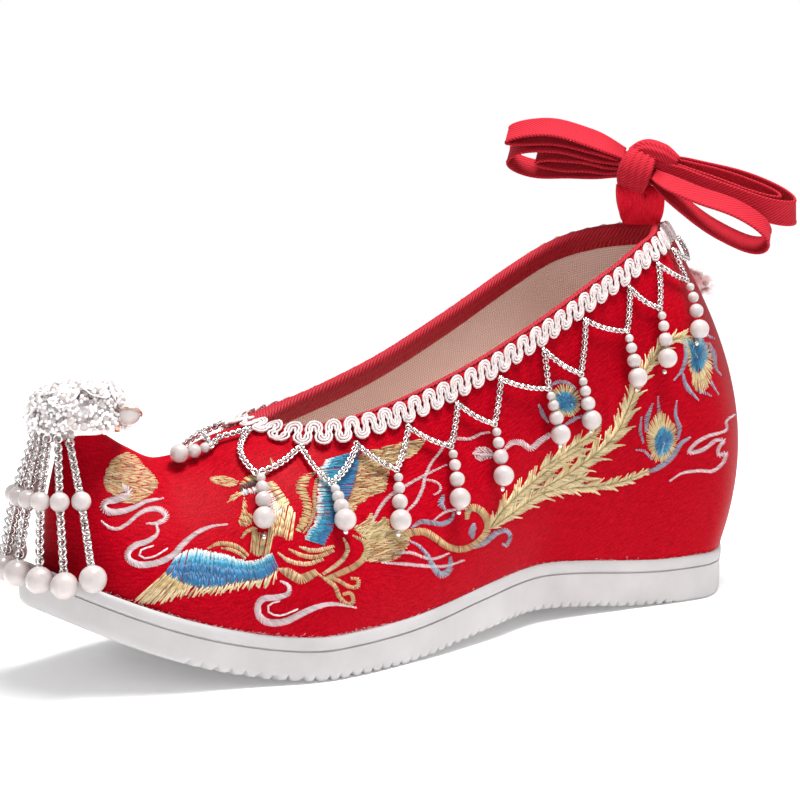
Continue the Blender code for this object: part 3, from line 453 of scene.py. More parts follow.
view = {"azimuth": -36.638, "elevation": 6.571, "distance": 559.85, "focal": 1890.43,
        "target": (-2.448, 0.0, 67.696), "picture": 800}
azimuth, elevation = math.radians(view["azimuth"]), math.radians(view["elevation"])
viewBack = np.array([math.sin(azimuth) * math.cos(elevation), -math.cos(azimuth) * math.cos(elevation),
                     math.sin(elevation)])
viewRight = np.array([math.cos(azimuth), math.sin(azimuth), 0.0])
viewUp = np.cross(viewBack, viewRight)
eye = np.array(view["target"]) + view["distance"] * viewBack
cameraData = bpy.data.cameras.new("camera")
cameraData.sensor_width = 36.0
cameraData.lens = view["focal"] / view["picture"] * cameraData.sensor_width
cameraData.clip_end = 20.0
camera = bpy.data.objects.new("camera", cameraData)
pose = Matrix(np.column_stack([viewRight, viewUp, viewBack]).tolist()).to_4x4()
pose.translation = Vector(((eye + shift) * mm).tolist())
camera.matrix_world = pose
bpy.context.scene.collection.objects.link(camera)
bpy.context.scene.camera = camera

studio = {
    "cove": 1.0, "sun": 1.6, "sunAngle": 30.0, "sunAim": (0.0, 0.2, -0.98),
    # name, place, aim and size in metres, power in watts
    "lamps": (("keyLight", (0.04, -0.08, 0.62), (-0.07, 0, 0.06), 0.22, 4.2),
              ("fillLight", (0.75, -0.7, 0.5), (0.03, 0, 0.07), 0.7, 0.2),
              ("rimLight", (-0.1, 0.8, 0.8), (0, 0, 0.06), 0.6, 0.2)),
}
bpy.context.scene.view_settings.view_transform = "Standard"
world = bpy.data.worlds.new("studio")
world.use_nodes = True
skyPlace = addNode(world.node_tree, "ShaderNodeTexCoord")
skyParts = addNode(world.node_tree, "ShaderNodeSeparateXYZ", {"Vector": skyPlace.outputs["Generated"]})
skyTone = addNode(world.node_tree, "ShaderNodeValToRGB", {"Fac": skyParts.outputs["Z"]})
paintRamp(skyTone, [(0.1, "#FFFFFF"), (0.24, "#C6C6C8"), (0.85, "#A2A2A5")])     # white cove, dimmer ceiling
world.node_tree.links.new(skyTone.outputs[0], world.node_tree.nodes["Background"].inputs["Color"])
world.node_tree.nodes["Background"].inputs["Strength"].default_value = studio["cove"]
bpy.context.scene.world = world
sunData = bpy.data.lights.new("sunLight", "SUN")
sunData.energy, sunData.angle = studio["sun"], math.radians(studio["sunAngle"])
sun = bpy.data.objects.new("sunLight", sunData)
sun.rotation_euler = Vector(studio["sunAim"]).to_track_quat("-Z", "Y").to_euler()
bpy.context.scene.collection.objects.link(sun)
for name, stand, aim, size, power in studio["lamps"]:
    lampData = bpy.data.lights.new(name, "AREA")
    lampData.shape, lampData.size, lampData.energy = "DISK", size, power
    lamp = bpy.data.objects.new(name, lampData)
    lamp.location = stand
    lamp.rotation_euler = (Vector(aim) - Vector(stand)).to_track_quat("-Z", "Y").to_euler()
    bpy.context.scene.collection.objects.link(lamp)

floorMaterial, floorTree, floorShader = startMaterial("mattPaperFloor", {
    "Roughness": 0.9, "Specular IOR Level": 0.1, "Emission Color": toLinear("#FFFFFF"),
    "Emission Strength": 0.16})
floorPlace = addNode(floorTree, "ShaderNodeTexCoord")
floorGrain = addNode(floorTree, "ShaderNodeTexNoise", {"Vector": floorPlace.outputs["Object"], "Scale": 40.0})
floorTone = addNode(floorTree, "ShaderNodeValToRGB", {"Fac": floorGrain.outputs["Fac"]})
paintRamp(floorTone, [(0.3, "#F8F8F8"), (0.7, "#FBFBFB")])
floorTree.links.new(floorTone.outputs[0], floorShader.inputs["Base Color"])
floorMesh = bpy.data.meshes.new("floor")
floorMesh.from_pydata([(-4, -4, 0), (4, -4, 0), (4, 4, 0), (-4, 4, 0)], [], [(0, 1, 2, 3)])
floorMesh.materials.append(floorMaterial)
floor = bpy.data.objects.new("floor", floorMesh)
bpy.context.scene.collection.objects.link(floor)
print("camera, lights and floor set")


# sole outline and heights, mm from the back of the heel

sole = {
    "length": soleLength, "bevelLength": 8.0, "bevelRise": 2.0,
    "archFrom": 42.0, "archTo": 160.0, "archBlend": 55.0, "archRise": 4.0,
    "springFrom": 180.0, "springRise": 23.0, "springPower": 1.8,
    "outline": ((0, 0, 0), (6, 14.3, 14.3), (30, 30.6, 31), (60, 27.7, 31), (90, 25.2, 32), (120, 33.5, 36),
                (150, 39.9, 40.5), (178, 43.1, 39.5), (205, 35, 33), (228, 27.6, 24.5), (243, 16.4, 13.5),
                (250, 0, 0)),
    "thickness": ((0, 14.8), (60, 14.8), (120, 13.8), (180, 12.4), (250, 11.6)),
    "side": ((2.0, 0.0, None), (1.1, 0.35, None), (0.5, 1.2, None), (0.4, 2.4, None), (0.35, None, 4.9),
             (0.35, None, 4.2), (0.85, None, 3.98), (0.85, None, 3.76), (0.15, None, 3.54), (0.0, None, 2.9),
             (0.0, None, 1.3), (0.25, None, 0.5), (0.8, None, 0.05), (1.6, None, 0.0)),
    "steps": 420, "ribPitch": 3.6, "ribDepth": 1.3, "ribFrom": 38.0, "ribTo": 222.0, "ribFade": 6.0,
    "ribShares": (1, 1, 0.8, 0.1),       # share of a notch's depth on the lowest rows of the side
}


@lru_cache(maxsize=None)
def slopesOf(knots, values):     # monotone cubic slopes
    step = np.diff(knots)
    slope = np.diff(values) / step
    found = np.zeros(len(knots))
    found[0], found[-1] = slope[0], slope[-1]
    for i in range(1, len(knots) - 1):
        if slope[i - 1] * slope[i] > 0:
            before, after = 2 * step[i] + step[i - 1], step[i] + 2 * step[i - 1]
            found[i] = (before + after) / (before / slope[i - 1] + after / slope[i])
    return found


def smooth(knots, values, at):
    slopes = slopesOf(knots, values)
    i = int(np.clip(np.searchsorted(knots, at, side="right") - 1, 0, len(knots) - 2))
    step = knots[i + 1] - knots[i]
    t = (at - knots[i]) / step
    start = (1 + 2 * t) * (1 - t) ** 2 * values[i] + t * (1 - t) ** 2 * step * slopes[i]
    end = t * t * (3 - 2 * t) * values[i + 1] + t * t * (t - 1) * step * slopes[i + 1]
    return float(start + end)


def readTable(rows, column, at):
    return smooth(tuple(float(r[0]) for r in rows), tuple(float(r[column]) for r in rows), at)


def halfWidth(rows, side, at):     # the square is interpolated, so the ends come out round
    column = 1 if side == near else 2
    squares = tuple(float(r[column]) ** 2 for r in rows)
    return math.sqrt(max(smooth(tuple(float(r[0]) for r in rows), squares, at), 0.0))


def place(fromHeel, y, z):
    return np.array([sole["length"] / 2 - fromHeel, y, z])


def floorGap(at):
    bevel = sole["bevelRise"] * max((sole["bevelLength"] - at) / sole["bevelLength"], 0.0) ** 2
    arch = ease((at - sole["archFrom"]) / sole["archBlend"]) * ease((sole["archTo"] - at) / sole["archBlend"])
    spring = max((at - sole["springFrom"]) / (sole["length"] - sole["springFrom"]), 0.0)
    return bevel + sole["archRise"] * arch + sole["springRise"] * spring ** sole["springPower"]


def soleTop(at):
    at = min(max(at, 0.0), sole["length"])
    return floorGap(at) + readTable(sole["thickness"], 1, at)


def ribNotch(at):        # 0 on a tread rib, 1 in the notch between ribs
    fade = ease((at - sole["ribFrom"]) / sole["ribFade"]) * ease((sole["ribTo"] - at) / sole["ribFade"])
    phase = (at / sole["ribPitch"]) % 1.0
    return fade * ease((0.2 - abs(phase - 0.5)) / 0.12)


def buildSole():
    turns = np.linspace(0, math.pi, sole["steps"] + 1)
    places = [sole["length"] / 2 * (1 - math.cos(t)) for t in turns]
    nearSide = [place(at, near * halfWidth(sole["outline"], near, at), 0) for at in places]
    farSide = [place(at, far * halfWidth(sole["outline"], far, at), 0) for at in places]
    ring = np.array(nearSide + farSide[-2:0:-1])
    along = np.roll(ring, -1, axis=0) - np.roll(ring, 1, axis=0)
    along /= np.linalg.norm(along, axis=1)[:, None]
    inward = np.column_stack([along[:, 1], -along[:, 0], np.zeros(len(ring))])
    rows = []
    for k, (inset, aboveFloor, belowTop) in enumerate(sole["side"]):
        row = ring + inset * inward
        for point in row:
            at = sole["length"] / 2 - point[0]
            if belowTop is None:
                notch = sole["ribDepth"] * ribNotch(at) * sole["ribShares"][k]
                point[2] = floorGap(at) + aboveFloor + notch
            else:
                point[2] = soleTop(at) - belowTop
        rows.append(row)
    points, faces, corners = gridPatch(rows, closeAcross=True)
    count = len(ring)
    half = count // 2
    for start in (0, (len(rows) - 1) * count):
        loop = [start + i for i in range(count)]
        faces.append((loop[0], loop[1], loop[-1]))
        faces += [(loop[i], loop[i + 1], loop[-i - 1], loop[-i]) for i in range(1, half - 1)]
        faces.append((loop[half - 1], loop[half], loop[half + 1]))
    return makePiece("outsole_rubber", points, faces, [rubber], ["outsole"], sharp=50)


buildSole()
print("sole built")


# wall of the upper

upper = {
    "wall": 1.8, "gap": 0.3, "lastSink": 0.45,
    "featherLine": ((0.6, 0, 0), (6, 13.3, 13.3), (30, 29.9, 30.3), (60, 27, 30.3), (90, 24.5, 31.3),
                    (120, 32.8, 35.3), (150, 39.2, 39.8), (178, 42.4, 38.8), (205, 34.2, 32.2),
                    (222, 28.3, 25.4), (232, 21.5, 18.8), (239, 11.5, 10.2), (242.5, 0, 0)),
    # footAt topAt topHalf topHeight heading footOut footUp topOut topDown, toe to heel
    "sections": (
        (242.5, 235, 0, 71, 90, 0.5, 14, 6, 8), (239, 232.5, 0, 69.9, 55, 0.8, 13, 5, 9),
        (232, 228, 0, 67.2, 28, 1.5, 14, 6, 8), (222, 219, 0, 61.5, 10, 3, 15, 9, 6),
        (211, 210, 0, 57.8, 3, 4, 17, 13, 5), (201, 201, 0, 58.9, 0, 4, 20, 18, 4.6),
        (191, 192, 0, 62.2, 0, 4, 22, 22.5, 3.8), (179.5, 179, 0, 64.8, 0, 4, 24, 26, 3),
        (174.5, 175.5, 11.5, 64.4, 0, 4, 24, 15, 9), (167, 167.5, 17.6, 65, 0, 4, 24, 10, 12),
        (152, 153, 21.4, 67.6, 0, 3.5, 22, 6, 14), (122, 124, 22.8, 76.6, 0, 4, 24, 5, 20),
        (92, 95, 23.7, 89.4, 0, 5, 26, 5, 24), (62, 66, 24, 104.2, -3, 6, 32, 7, 30),
        (34, 46, 20.5, 113.8, -22, 9.5, 34, 16, 34), (13, 31, 9.3, 117.8, -58, 12, 34, 26, 38),
        (0.6, 21, 0, 118.4, -90, 13, 33, 29, 36)),
    "throat": 7, "heel": 16, "throatRound": 8.0, "throatReach": 22.0, "edgeStep": 0.5,
    "samples": 73, "stepsPerSection": 9, "throatSteps": 16, "rows": 44,
    # soft creases: mm from the heel, share of the way down the wall, spread along and down, depth
    "creases": ((227, 0.5, 2.6, 0.26, -0.4), (220, 0.62, 2.8, 0.24, 0.25), (213, 0.7, 3.0, 0.22, -0.35),
                (186, 0.9, 5.0, 0.07, -0.3), (168, 0.16, 5.0, 0.07, -0.45), (150, 0.2, 7.0, 0.06, 0.2),
                (118, 0.9, 6.0, 0.08, -0.35), (102, 0.88, 5.0, 0.1, 0.2), (88, 0.86, 6.0, 0.12, -0.35),
                (60, 0.7, 8.0, 0.16, -0.3), (30, 0.84, 6.0, 0.1, -0.3), (16, 0.6, 6.0, 0.2, -0.25)),
}
sectionKnots = tuple(float(i) for i in range(len(upper["sections"])))


# one section between the given ones, with its collar end round and its reach at the top kept smooth
@lru_cache(maxsize=None)
def wallRow(station):
    columns = []
    for k in range(9):
        values = tuple(float(r[k]) for r in upper["sections"])
        if k == 2:
            columns.append(math.sqrt(max(smooth(sectionKnots, tuple(v * v for v in values), station), 0.0)))
        elif k == 7:
            reach = tuple(float(r[2] + r[7]) for r in upper["sections"])
            columns.append(smooth(sectionKnots, reach, station) - columns[2])
        else:
            columns.append(smooth(sectionKnots, values, station))
    return tuple(columns)


@lru_cache(maxsize=None)
def wallCurve(side, station, outset):      # points from collar to foot, with lengths from the collar
    footAt, topAt, topHalf, topHeight, heading, footOut, footUp, topOut, topDown = wallRow(station)
    lean = math.radians(heading)
    out = np.array([-math.sin(lean), side * math.cos(lean), 0.0])
    slope = math.atan2(topDown, topOut)
    openShare = ease(topHalf / upper["throatRound"]) if station < upper["heel"] - 1 else 1.0
    lift = (1 - openShare) / math.cos(slope) + openShare * math.cos(slope)
    footY = side * halfWidth(upper["featherLine"], side, footAt)
    foot = place(footAt, footY, soleTop(footAt) + upper["gap"]) + outset * out
    top = place(topAt, side * topHalf, topHeight) + outset * (openShare * math.sin(slope) * out + lift * up)
    aboveFoot = foot + footOut * out + footUp * up
    belowTop = top + topOut * out - topDown * up
    t = np.linspace(0.0, 1.0, upper["samples"])[:, None]
    curve = ((1 - t) ** 3 * top + 3 * t * (1 - t) ** 2 * belowTop
             + 3 * t * t * (1 - t) * aboveFoot + t ** 3 * foot)
    steps = np.linalg.norm(np.diff(curve, axis=0), axis=1)
    return curve, np.concatenate([[0.0], np.cumsum(steps)])


def wallPoint(side, station, drop, outset):
    curve, length = wallCurve(side, station, outset)
    if drop < 0:
        return curve[0] + drop * unit(curve[1] - curve[0])
    return np.array([np.interp(drop, length, curve[:, k]) for k in range(3)])


def wallStations(first, last):
    stations = []
    for section in range(first, last):
        steps = upper["throatSteps"] if section in (6, 7, 8) else upper["stepsPerSection"]
        stations += [section + k / steps for k in range(steps)]
    return stations + [last]


@lru_cache(maxsize=None)
def collarLengths():
    stations = np.linspace(upper["throat"], upper["heel"], 481)
    edge = np.array([wallPoint(near, float(s), 0.0, 0.0) for s in stations])
    return stations, np.concatenate([[0.0], np.cumsum(np.linalg.norm(np.diff(edge, axis=0), axis=1))])


def collarStation(along):
    stations, lengths = collarLengths()
    return float(np.interp(along, lengths, stations))


@lru_cache(maxsize=None)
def topPlaces():
    stations = np.linspace(0, upper["heel"], 481)
    return stations, np.array([-wallRow(float(s))[1] for s in stations])


def stationAt(topAt):
    stations, tops = topPlaces()
    return float(np.interp(-topAt, tops, stations))


def throatShare(along):
    return 1 - ease((along - upper["throatReach"]) / upper["throatReach"])


def besideCollar(side, along, distance):     # station and drop of a place square off the collar edge
    station = collarStation(along)
    here, ahead = wallRow(station), wallRow(collarStation(along + upper["edgeStep"]))
    turn = math.atan2(ahead[2] - here[2], here[1] - ahead[1]) * throatShare(along)
    if turn == 0:
        return station, distance
    front = stationAt(here[1] + distance * math.sin(turn))
    curve, lengths = wallCurve(side, front, 0.0)
    start = float(np.interp(here[2], np.abs(curve[:, 1]), lengths)) if front < station else 0.0
    return front, start + distance * math.cos(turn)


def collarPoint(side, along, distance, outset):
    if distance < 0:
        edge = collarPoint(side, along, 0.0, outset)
        return edge + distance * unit(collarPoint(side, along, 1.0, outset) - edge)
    station, drop = besideCollar(side, along, distance)
    return wallPoint(side, station, drop, outset)


def creaseDepth(at, share):     # how far the satin stands out or sinks in, mm
    return sum(depth * math.exp(-((at - middle) / along) ** 2 - ((share - down) / reach) ** 2)
               for middle, down, along, reach, depth in upper["creases"])


def buildUpper():       # satin outside, canvas inside, joined at the collar and underneath
    stations = wallStations(0, upper["heel"])
    points, faces, corners, which = [], [], [], []
    skins = {}
    for side in (near, far):
        for outset, finish in ((0.0, 0), (-upper["wall"], 1)):
            grid, flat = [], []
            travel, before = 0.0, None
            for station in stations:
                height = wallCurve(side, station, outset)[1][-1]
                drops = [height * k / upper["rows"] for k in range(upper["rows"] + 1)]
                row = [wallPoint(side, station, drop, outset) for drop in drops]
                if outset == 0.0:
                    for k, drop in enumerate(drops):
                        depth = creaseDepth(sole["length"] / 2 - row[k][0], drop / height)
                        under = wallPoint(side, station, drop, -upper["wall"])
                        row[k] = row[k] + depth * unit(row[k] - under)
                row[-1] = row[-1] - upper["lastSink"] * up        # the lasting edge sinks into the sole's rim
                middle = row[len(row) // 2]
                travel += 0.0 if before is None else float(np.linalg.norm(middle - before))
                before = middle
                grid.append(row)
                flat.append([(travel, drop) for drop in drops])
            patch, quads, uv = gridPatch(grid, uv=flat)
            start = len(points)
            points += list(patch)
            faces += [[v + start for v in quad] for quad in quads]
            corners += uv
            which += [finish] * len(quads)
            skins[side, finish] = (start, patch, quads)
        outer, inner = skins[side, 0][0], skins[side, 1][0]
        across = upper["rows"] + 1
        for i in range(len(stations) - 1):
            for row, wanted in ((upper["rows"], True), (0, stations[i] >= upper["throat"])):
                if wanted:
                    a, b = i * across + row, (i + 1) * across + row
                    faces.append([outer + a, outer + b, inner + b, inner + a])
                    corners += [(0.0, 0.0)] * 4
                    which.append(0)
    makePiece("upper_satin", points, faces, [satin, canvas], ["upper"], corners, which)
    return skins


skins = buildUpper()
print("upper built")


# collar binding and braid

binding = {
    # drop from the collar edge and outset, outside over the roll and down inside
    "section": ((-0.2, 0.0), (-0.9, -0.2), (-1.35, -0.9), (-1.3, -1.8), (-0.8, -2.6), (0.2, -3.1),
                (1.4, -3.2), (2.6, -3.0), (3.2, -2.75), (3.8, -2.7), (6.3, -2.6), (6.5, -2.3), (3.5, -2.1),
                (0.0, -2.0), (-0.2, -1.2)),
    "throatGap": 1.8, "steps": 150, "mapStep": 1.1,
}


def collarRing(count):
    total = collarLengths()[1][-1]
    lengths = [total * i / count for i in range(count + 1)]
    ring = [(near, a) for a in lengths] + [(far, a) for a in lengths[-2:0:-1]]
    return ring, [i * total / count for i in range(2 * count + 1)]


def buildBinding():
    ring, travel = collarRing(binding["steps"])
    rows = []
    for side, along in ring:
        extra = binding["throatGap"] * throatShare(along)
        rows.append([collarPoint(side, along, drop, out - extra * ease(-(out + 1.2) / 0.8))
                     for drop, out in binding["section"]])
    flat = [[(u, binding["mapStep"] * j) for j in range(len(binding["section"]) + 1)] for u in travel]
    points, faces, corners = gridPatch(rows, closeAlong=True, closeAcross=True, uv=flat)
    makePiece("collar_binding_tape", points, faces, [corded], ["collar_binding"], corners)


buildBinding()

braid = {"pitch": 5.2, "middle": 3.0, "half": 1.1, "neck": 0.55, "throatRise": 0.4, "cordGap": 0.78,
         "cordRadius": 0.375, "off": 0.95, "throatGap": 0.4, "sides": 6}


def buildBraid():        # three cords laid side by side in a winding line
    total = 2 * collarLengths()[1][-1]
    count = round(total / braid["pitch"])
    pitch = total / count
    run = pitch / 4
    paths = [[], [], []]
    for n in range(count):
        for k, offset in enumerate((-braid["cordGap"], 0.0, braid["cordGap"])):
            loop = []
            for way, start in ((1, run), (-1, 3 * run)):       # lower lobe and climb, upper lobe and fall
                reach = run + way * offset
                for i in range(9):
                    turn = math.pi * i / 8 + braid["neck"] * (i / 4 - 1)
                    rise = braid["half"] + reach * math.sin(turn)
                    loop.append((start - reach * math.cos(turn), way * rise))
            for u, v in loop:
                along = n * pitch + u
                side = near if along <= total / 2 else far
                along = min(along, total - along)
                swell = 0.12 * math.sin(along * 2.1) + (0.1 if k == 1 else 0.0)
                out = braid["off"] + braid["throatGap"] * throatShare(along) + swell
                middle = braid["middle"] - braid["throatRise"] * throatShare(along)
                paths[k].append(collarPoint(side, max(along, 0.0), middle + v, out))
    growPiece("collar_braid_gimp", pathSeed("braidSeed", paths, closed=True), cords,
              {"Cord radius": braid["cordRadius"] * mm, "Sides": braid["sides"], "Finish": gimp},
              ["collar_braid"])


buildBraid()
print("binding and braid built")


# chains, pearls and tassel

swag = {
    "top": 7.4, "last": 2.5, "off": 1.95, "throat": (1.2, 15.0), "back": (163.5, 175.0, 14.0),
    # where the chain leaves the braid, its low point along the collar and below it, lean of the drop
    "rows": ((6, 11.9, 19.3, 0.36), (17, 22.9, 17.2, 0.14), (30, 38.5, 16.7, 0.38), (46.5, 59, 16.7, 0.22),
             (65, 76.6, 17.3, 0.14), (82, 100, 17.9, -0.08), (100, 113.5, 20.4, -0.05),
             (118, 133.7, 17.8, 0.01), (137.5, 146.8, 18.2, 0.19), (151.5, 162.2, 16.4, 0.38)),
    "pearls": (1.3, 1.7, 2.2, 3.0), "pearlOff": 1.2, "pearlClear": 0.9, "chainRadius": 0.95,
    "endBead": 0.8, "endBeadOff": 3.1,
    "throatPearls": (1.4, 1.9, 2.6), "throatFrom": 197.0, "throatDrop": 7.0,
    "linkPitch": 0.95, "linkLong": 1.14, "linkWide": 1.06, "linkWire": 0.28,
}
tassel = {
    "topAt": 239.0, "spread": 0.55, "topHeight": 64.6, "midHeight": 50.5, "midPearl": 2.6, "endPearl": 3.6,
    "strands": ((249.2, 2.8, 253.2, 4.2, 32.0), (248.0, 7.6, 250.6, 11.6, 31.0),
                (244.4, 11.4, 246.6, 17.6, 30.0), (239.4, 13.6, 241.2, 22.8, 32.0)),
    "linkPitch": 1.25, "linkLong": 1.42, "linkWide": 1.46, "linkWire": 0.36,
}


def linkShape(name, long, wide, gauge):     # oval wire ring lying along x
    rows = []
    for i in range(10):
        turn = 2 * math.pi * i / 10
        middle = np.array([(long - gauge) * math.cos(turn), (wide - gauge) * math.sin(turn), 0.0])
        out = unit(np.array([math.cos(turn) / long, math.sin(turn) / wide, 0.0]))
        rows.append([(middle + gauge * (math.cos(a) * out + math.sin(a) * up)) * mm
                     for a in (0, math.pi / 2, math.pi, 3 * math.pi / 2)])
    points, faces, corners = gridPatch(rows, closeAlong=True, closeAcross=True)
    return shapeObject(name, points, faces)


def swagPaths(side):
    total = collarLengths()[1][-1]
    backHigh, backLow, backReach = swag["back"]
    knots = [swag["throat"]]
    for high, along, reach, lean in swag["rows"]:
        knots += [(high, swag["top"]), (along, reach + 0.8)]
    knots += [(backHigh, swag["top"]), (backLow, backReach), (total - swag["last"], swag["top"])]
    paths = []
    for (a, b), (c, d) in zip(knots, knots[1:]):       # each leg hangs nearly straight, with a slight sag
        leg = []
        for t in np.linspace(0, 1, 9):
            sag = 0.9 * math.sin(math.pi * t)
            leg.append(collarPoint(side, a + (c - a) * t, b + (d - b) * t + sag, swag["off"]))
        paths.append(leg)
    return paths


def throatLeg(side):        # chain from the end of a swag over the vamp to the throat pearls
    station, drop = besideCollar(side, *swag["throat"])
    goal = stationAt(swag["throatFrom"] - 0.4)
    leg = []
    for t in np.linspace(0, 1, 11):
        across = side * drop + (near * swag["throatDrop"] - side * drop) * t
        leg.append(wallPoint(near if across * near > 0 else far, station + (goal - station) * t, abs(across),
                             swag["off"]))
    return leg


def strandEnds(side, strand):
    midAt, midHalf, endAt, endHalf, endHeight = strand
    top = place(tassel["topAt"] + tassel["spread"] * (midAt - tassel["topAt"]),
                side * tassel["spread"] * midHalf, tassel["topHeight"])
    return top, place(midAt, side * midHalf, tassel["midHeight"]), place(endAt, side * endHalf, endHeight)


def ballMark(at, radius):
    return {"at": at, "along": (1, 0, 0), "out": (0, 0, 1), "size": (radius,) * 3}


swagLink = linkShape("swagLink", swag["linkLong"], swag["linkWide"], swag["linkWire"])
tasselLink = linkShape("tasselLink", tassel["linkLong"], tassel["linkWide"], tassel["linkWire"])
pearlBall = ballShape("pearlBall", 18, 12)
seedBall = ballShape("seedBall", 8, 5)
pearlMarks, beadMarks, tasselPaths, strandNodes = [], [], [], []
for side, word in ((near, "near"), (far, "far")):
    growPiece(f"chain_links_{word}", pathSeed("swagSeed", swagPaths(side) + [throatLeg(side)]), links,
              {"Link": swagLink, "Link pitch": swag["linkPitch"] * mm, "Finish": silver},
              [f"chain_swag_{word}"])
    dropMarks = []
    for high, along, reach, lean in swag["rows"]:
        station, low = besideCollar(side, along, reach)
        topAt = wallRow(station)[1]
        distance = 0.0
        for radius in swag["pearls"]:
            distance += radius
            swung = stationAt(topAt + lean * distance)
            start = low + swag["chainRadius"] + swag["pearlClear"]
            seat = wallPoint(side, swung, start + distance, radius + swag["pearlOff"])
            dropMarks.append(ballMark(seat, radius))
            distance += radius
        end = wallPoint(side, stationAt(topAt + lean * (distance + 0.6)), start + distance + 0.5,
                        swag["endBeadOff"])
        beadMarks.append(ballMark(end, swag["endBead"]))
    scatterPiece(f"pearl_strings_{word}", dropMarks, pearlBall, pearl,
                 [f"pearl_drop_{word}_{n:02d}" for n in range(1, len(swag["rows"]) + 1)])
    for n, strand in enumerate(tassel["strands"], start=1):
        top, middle, end = strandEnds(side, strand)
        down, away = unit(middle - top), unit(end - middle)
        tasselPaths.append([top + 1.5 * up, top, middle - tassel["midPearl"] * down])
        tasselPaths.append([middle + tassel["midPearl"] * away, end - tassel["endPearl"] * away])
        pearlMarks += [ballMark(middle, tassel["midPearl"]), ballMark(end, tassel["endPearl"])]
        strandNodes.append(f"tassel_strand_{word}_{n}")
growPiece("tassel_chain_links", pathSeed("tasselSeed", tasselPaths), links,
          {"Link": tasselLink, "Link pitch": tassel["linkPitch"] * mm, "Finish": silver},
          strandNodes)
throatMarks, distance = [], 0.0
for radius in swag["throatPearls"]:
    distance += radius
    station = stationAt(swag["throatFrom"] + distance)
    seat = wallPoint(near, station, swag["throatDrop"], radius + swag["pearlOff"])
    throatMarks.append(ballMark(seat, radius))
    distance += radius
scatterPiece("throat_pearls", throatMarks, pearlBall, pearl, ["throat_drop"])
scatterPiece("tassel_pearls", pearlMarks, pearlBall, pearl)
scatterPiece("drop_end_beads", beadMarks, seedBall, silver)
print("chains and pearls hung")


# toe rosette

rosette = {"at": 232.6, "radius": 12.2, "base": 67.2, "top": 77.6, "seed": 5, "flowers": 15, "petals": 6,
           "petalLong": (3.3, 4.4), "pearls": 130, "seeds": 860, "rim": 34,
           "sidePearl": (224.3, -12.3, 71.9, 2.9), "peachBead": (227.1, -10.6, 68.6, 1.5),
           "leaf": (240.5, 7.0, 73.2, 7.0),
           "ties": ((239.6, -3.4, 66.6, 1.7), (240.6, 0.2, 66.2, 1.9), (238.6, -6.4, 67.0, 1.5),
                    (239.8, 4.0, 66.6, 1.6))}


def petalShape(name):     # cupped round petal, 1 long
    rows = []
    for i in range(6):
        t = i / 5
        half = 0.44 * math.sin(math.pi * (0.1 + 0.8 * t)) ** 0.7
        rows.append([(t, s * half, 0.22 * t * t + 0.5 * s * s * half * 0.6) for s in (-1, -0.4, 0.4, 1)])
    top = np.array(rows)
    low = top - np.array([0, 0, 0.03])
    under = top.size // 3
    points = list(top.reshape(-1, 3)) + list(low.reshape(-1, 3))
    faces = gridPatch(top)[1]
    faces += [[v + under for v in quad[::-1]] for quad in faces]
    rim = [i * 4 for i in range(6)] + [21, 22] + [i * 4 + 3 for i in range(5, -1, -1)] + [2, 1]
    faces += [[a, b, b + under, a + under] for a, b in zip(rim, rim[1:] + rim[:1])]
    return shapeObject(name, points, faces)


def domePoint(turn, share):       # place on the rosette's dome with its outward direction
    reach = rosette["radius"] * share
    rise = rosette["top"] - rosette["base"]
    crown = max(1 - share ** 3, 0.0) ** (1 / 3)        # fuller than a ball, like a bun
    height = rosette["base"] + rise * crown
    at = place(rosette["at"] + reach * math.cos(turn), reach * math.sin(turn), height)
    out = np.array([-math.cos(turn) * share ** 2 / rosette["radius"],
                    math.sin(turn) * share ** 2 / rosette["radius"],
                    crown ** 2 / rise + 0.005])
    return at, unit(out)


